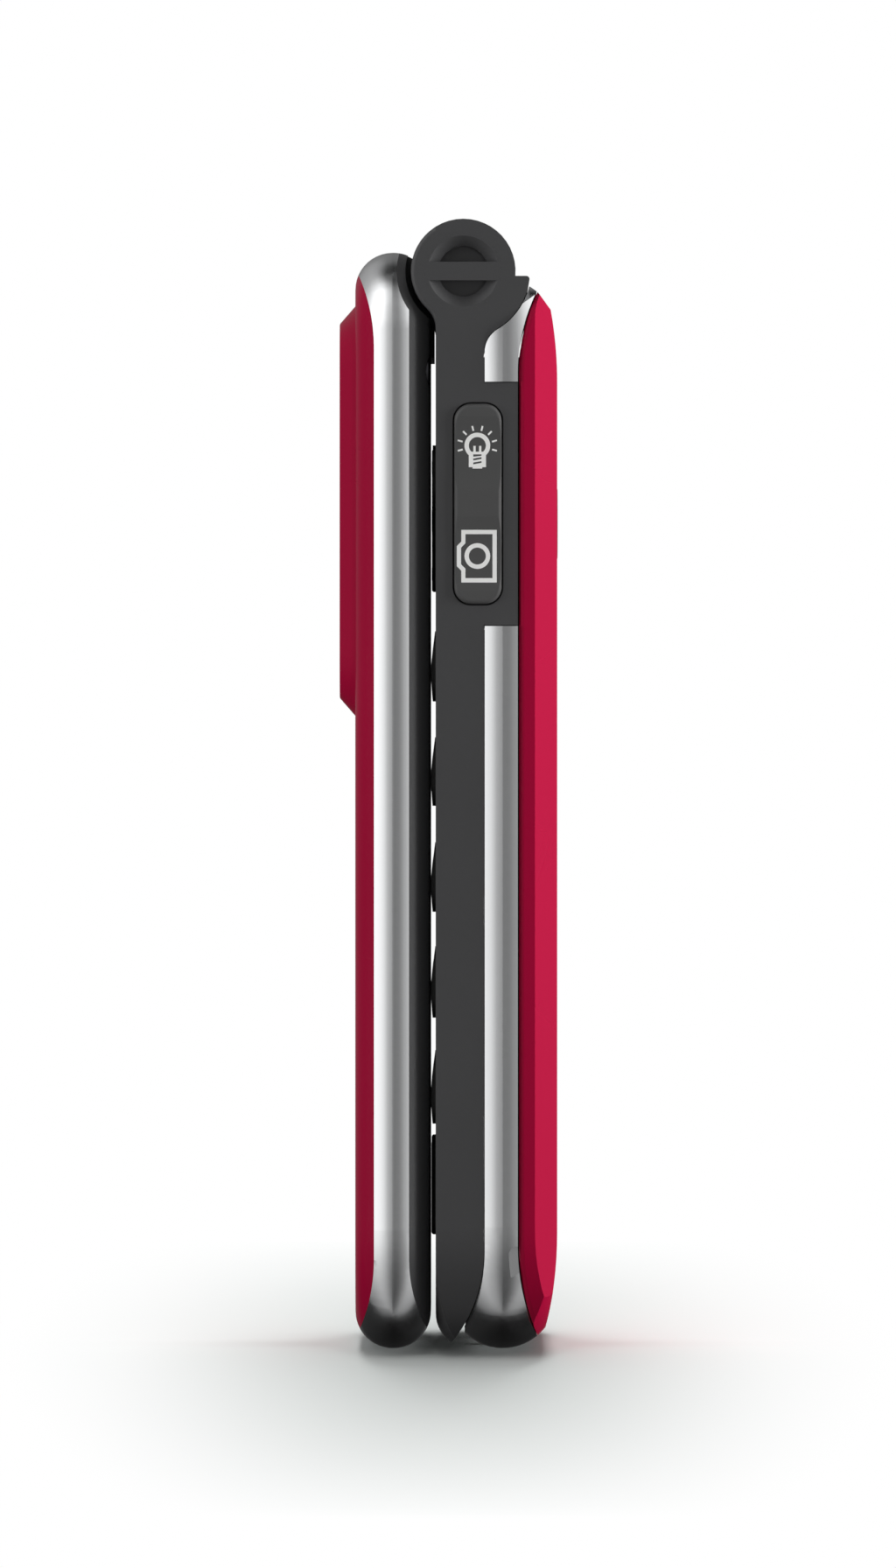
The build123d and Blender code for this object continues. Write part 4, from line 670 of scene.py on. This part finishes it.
# ---------------------------------------------------------------------------
# Soft parts: the silicone mat under the keys, and the two rubber bumpers that
# keep the halves apart when the lid is shut.
# ---------------------------------------------------------------------------
# Compression-moulded silicone: dull translucent grey, slightly dusty to the eye.
grey_silicone = moulded_plastic("grey_silicone_moulded", "#8c8e91", "#84868a", 0.6,
                                0.6 * mm, 0.004 * mm, 0.35)
finish(grey_silicone, "keypad_mat")
# Moulded rubber: matt black that takes hardly any shine.
black_rubber = moulded_plastic("black_rubber_moulded", "#1b1b1c", "#232324", 0.62,
                               0.4 * mm, 0.004 * mm, 0.35)
finish(black_rubber, "rubber_bumpers")


# ---------------------------------------------------------------------------
# Side keys and SOS button: one rocker in each side wall and a round button in
# the back, moulded in charcoal ABS with a soft-touch paint.
# ---------------------------------------------------------------------------
# Soft-touch paint over ABS: a shade softer and more even than the housing round it.
soft_touch = moulded_plastic("soft_touch_paint_on_abs", "#4a4a4a", "#464646", 0.46, 0.35 * mm, 0.0015 * mm)
finish(soft_touch, "torch_camera_rocker", "volume_rocker", "sos_button")


# ---------------------------------------------------------------------------
# Marks on the side keys: a light bulb over a camera lying on its side, and a
# plus over a minus, pad printed in off-white ink that follows the hollows.
# ---------------------------------------------------------------------------
ink_proud = 0.015 * mm
ink_sunk = 0.05 * mm
ink_cell = 0.4                      # largest flat in the print, in mm
same_point = 0.001                  # corners nearer than this are one, in mm
cut_slack = 0.0001
stand_off = 60                      # the film is cast onto the key from this far off, in mm
capital_share = 0.69                # a capital's height as a share of the letters' size
up = Vector((0, 0, 1))

# Pad-printing ink: off-white and matt, thinner in places.
pad_ink = moulded_plastic("off_white_pad_printing_ink", "#fcfcfa", "#f7f7f5", 0.5, 0.5 * mm, 0.001 * mm)


def arc(u, v, radius, first, last, steps=28):
    """Points round (u, v) in mm, from one angle to another in degrees."""
    angles = [math.radians(first + (last - first) * i / steps) for i in range(steps + 1)]
    return [(u + radius * math.cos(a), v + radius * math.sin(a)) for a in angles]


def ring(u, v, outer, inner):
    """Outline of a circle and of the round hole in it."""
    return [arc(u, v, outer, 0, 360)[:-1], arc(u, v, inner, 0, 360)[:-1]]


def bar(u, v, length, width, angle=0.0):
    """Rectangle about (u, v), its length turned from the level by an angle in degrees."""
    turn = math.radians(angle)
    along = (math.cos(turn) * length / 2, math.sin(turn) * length / 2)
    over = (-math.sin(turn) * width / 2, math.cos(turn) * width / 2)
    return [(u + i * along[0] + j * over[0], v + i * along[1] + j * over[1])
            for i, j in ((-1, -1), (1, -1), (1, 1), (-1, 1))]


def outline_shape(outlines):
    """Flat filled shape of closed outlines in mm, where one inside another is a hole."""
    curve = bpy.data.curves.new("outline", "CURVE")
    curve.dimensions = "2D"
    curve.fill_mode = "FRONT"
    for points in outlines:
        spline = curve.splines.new("POLY")
        spline.points.add(len(points) - 1)
        for point, (u, v) in zip(spline.points, points):
            point.co = (u, v, 0, 1)
        spline.use_cyclic_u = True
    return curve


def text_shape(words, height):
    """Flat shape of a figure or letters whose capitals are of the given height in mm."""
    curve = bpy.data.curves.new("figure", "FONT")
    curve.body = words
    curve.size = height / capital_share
    curve.align_x = "CENTER"
    curve.align_y = "CENTER"
    return curve


def print_on(name, curve, node, right, shift=(0.0, 0.0)):
    """Lays a flat shape on a key's face as a thin film of ink that moves with the key."""
    flat = bpy.data.meshes.new_from_object(bpy.data.objects.new("flat", curve))
    sheet = bmesh.new()
    sheet.from_mesh(flat)
    bmesh.ops.remove_doubles(sheet, verts=sheet.verts, dist=same_point)
    if isinstance(curve, bpy.types.TextCurve):
        across, upward = [(min(v.co[i] for v in sheet.verts) + max(v.co[i] for v in sheet.verts)) / 2
                          for i in (0, 1)]
        bmesh.ops.translate(sheet, verts=sheet.verts, vec=(-across, -upward, 0))
    for axis in (0, 1):
        low = min(v.co[axis] for v in sheet.verts)
        high = max(v.co[axis] for v in sheet.verts)
        normal = Vector((1, 0, 0)) if axis == 0 else Vector((0, 1, 0))
        for cut in range(1, math.ceil((high - low) / ink_cell)):
            bmesh.ops.bisect_plane(sheet, geom=sheet.verts[:] + sheet.edges[:] + sheet.faces[:],
                                   dist=cut_slack, plane_co=normal * (low + cut * ink_cell),
                                   plane_no=normal)
    bmesh.ops.triangulate(sheet, faces=sheet.faces[:])
    sheet.verts.index_update()
    sheet.verts.ensure_lookup_table()
    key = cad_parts[node].data
    face = BVHTree.FromPolygons([v.co for v in key.vertices], [p.vertices[:] for p in key.polygons])
    low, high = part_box(node)
    inward = up.cross(right)
    middle = (low + high) / 2 - inward * stand_off * mm
    points = []
    for vert in sheet.verts:
        start = middle + right * (vert.co.x + shift[0]) * mm + up * (vert.co.y + shift[1]) * mm
        hit = face.ray_cast(start, inward)[0]
        if hit is None:
            raise ValueError(name + " runs off the face of " + node)
        points += [hit - inward * ink_proud, hit + inward * ink_sunk]
    faces = []
    for polygon in sheet.faces:
        corners = [v.index for v in polygon.verts]
        if polygon.normal.z < 0:
            corners.reverse()
        faces.append([2 * c for c in corners])
        faces.append([2 * c + 1 for c in reversed(corners)])
        for first, second in zip(corners, corners[1:] + corners[:1]):
            if len(sheet.edges.get((sheet.verts[first], sheet.verts[second])).link_faces) == 1:
                faces.append([2 * second, 2 * first, 2 * first + 1, 2 * second + 1])
    sheet.free()
    film = mesh_piece(name, points, faces)
    film.data.materials.append(pad_ink)
    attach(film, node)


# The shapes of the marks are points in mm, each about the middle of its own mark.
bulb_v = 5.32
bulb_u = -0.05
camera_v = -4.79
leg_half = 0.105
leg_top = -0.03
bulb_outer = 1.18
bulb_inner = 0.775
socket_half = 0.785
socket_join = -math.sqrt(bulb_outer ** 2 - socket_half ** 2)
join_angle = math.degrees(math.atan2(socket_join, socket_half))
neck_v = -0.56
neck_angle = math.degrees(math.asin(neck_v / bulb_inner))
glass_edge = arc(0, 0, bulb_outer, join_angle, 180 - join_angle, 40)
bulb_edge = glass_edge + [(-socket_half, -1.97), (-0.44, -1.97), (-0.44, -2.10), (0.44, -2.10),
                          (0.44, -1.97), (socket_half, -1.97)]
bulb_hollow = arc(0, 0, bulb_inner, neck_angle, 180 - neck_angle, 36)
for side in (-0.26, 0.26):                            # the two legs of the filament
    bulb_hollow += [(side - leg_half, neck_v), (side - leg_half, leg_top),
                    (side + leg_half, leg_top), (side + leg_half, neck_v)]
threads = [[(-0.375, -0.80), (0.375, -0.80), (0.375, -0.94), (-0.375, -1.02)]]
for turn in (0, 1):
    drop = 0.36 * turn
    threads.append([(-0.375, -1.19 - drop), (0.375, -1.06 - drop), (0.375, -1.22 - drop),
                    (-0.375, -1.36 - drop)])
glints = [bar(1.62 * math.cos(math.radians(a)), 1.62 * math.sin(math.radians(a)), 0.46, 0.16, a)
          for a in (-15, 15, 45, 75, 105, 135, 165, 195)]
bulb = [[(u + bulb_u, v + bulb_v) for u, v in points]
        for points in [bulb_edge, bulb_hollow, *threads, *glints]]

camera_edge = [(-1.52, -2.40), (1.72, -2.40), (1.72, 2.41), (-1.52, 2.41), (-1.52, 1.34), (-1.93, 0.93),
               (-1.93, -0.91), (-1.52, -1.32)]
camera_hollow = [(-1.14, 2.02), (1.33, 2.02), (1.33, -2.00), (-1.14, -2.00), (-1.14, -1.13), (-1.54, -0.73),
                 (-1.54, 0.78), (-1.14, 1.18)]
camera_sign = [[(u, v + camera_v) for u, v in points]
               for points in [camera_edge, camera_hollow, *ring(-0.05, 0.02, 1.18, 0.775)]]

right_side = Vector((1, 0, 0))      # to the right, for an eye that faces the phone's right side
left_side = Vector((-1, 0, 0))
print_on("bulb_mark", outline_shape(bulb), "torch_camera_rocker", right_side)
print_on("camera_mark", outline_shape(camera_sign), "torch_camera_rocker", right_side)
plus = [[(-0.2, 0.2), (-1.3, 0.2), (-1.3, -0.2), (-0.2, -0.2), (-0.2, -1.3), (0.2, -1.3), (0.2, -0.2),
         (1.3, -0.2), (1.3, 0.2), (0.2, 0.2), (0.2, 1.3), (-0.2, 1.3)]]
volume_v = 5.3
print_on("volume_up_mark", outline_shape(plus), "volume_rocker", left_side, (0, volume_v))
print_on("volume_down_mark", outline_shape([bar(0, 0, 2.6, 0.4)]), "volume_rocker", left_side,
         (0, -volume_v))


# ---------------------------------------------------------------------------
# Keypad: separate keys on the silicone mat, moulded in charcoal ABS with the
# soft-touch paint, and their figures and signs pad printed.
# ---------------------------------------------------------------------------
number_keys = ["key_" + figure for figure in "1234567890"] + ["key_star", "key_hash"]
call_keys = ["call_key", "clear_key", "end_key"]
menu_keys = ["soft_key_left", "soft_key_right", "nav_ring", "ok_key"]
finish(soft_touch, *number_keys, *call_keys, *menu_keys)

viewer_right = Vector((0, -1, 0))
figure_height = 3.6
star_height = 6.5                   # a star sits high and small in its line
for node, figure in zip(number_keys, "1234567890*#"):
    height = star_height if figure == "*" else figure_height
    print_on(node + "_figure", text_shape(figure, height), node, viewer_right)


def turned(shape, angle):
    """Points turned about the middle by an angle in degrees."""
    turn = math.radians(angle)
    return [(u * math.cos(turn) - v * math.sin(turn), u * math.sin(turn) + v * math.cos(turn))
            for u, v in shape]


def handset(angle):
    """Outline of a telephone handset, turned by an angle in degrees."""
    body = arc(0, -1.35, 2.1, 40, 140, 20)
    under = arc(0, -1.35, 1.45, 128, 52, 16)
    shape = body + [(-1.9, -0.75), (-1.0, -0.75)] + under + [(1.0, -0.75), (1.9, -0.75)]
    return turned(shape, angle)


print_on("call_key_sign", outline_shape([handset(50)]), "call_key", viewer_right)
print_on("end_key_sign", outline_shape([handset(0)]), "end_key", viewer_right)
print_on("clear_key_sign", text_shape("C", 2.8), "clear_key", viewer_right)
print_on("ok_key_sign", text_shape("OK", 1.9), "ok_key", viewer_right)
for node in ("soft_key_left", "soft_key_right"):
    print_on(node + "_sign", outline_shape([bar(0, 0, 4.6, 0.55)]), node, viewer_right)

arrow_radius = 4.85
arrow_tip = [(arrow_radius + 0.65, 0.0), (arrow_radius - 0.45, 0.95), (arrow_radius - 0.45, -0.95)]
arrows = [turned(arrow_tip, angle) for angle in (0, 90, 180, 270)]
print_on("nav_ring_arrows", outline_shape(arrows), "nav_ring", viewer_right)
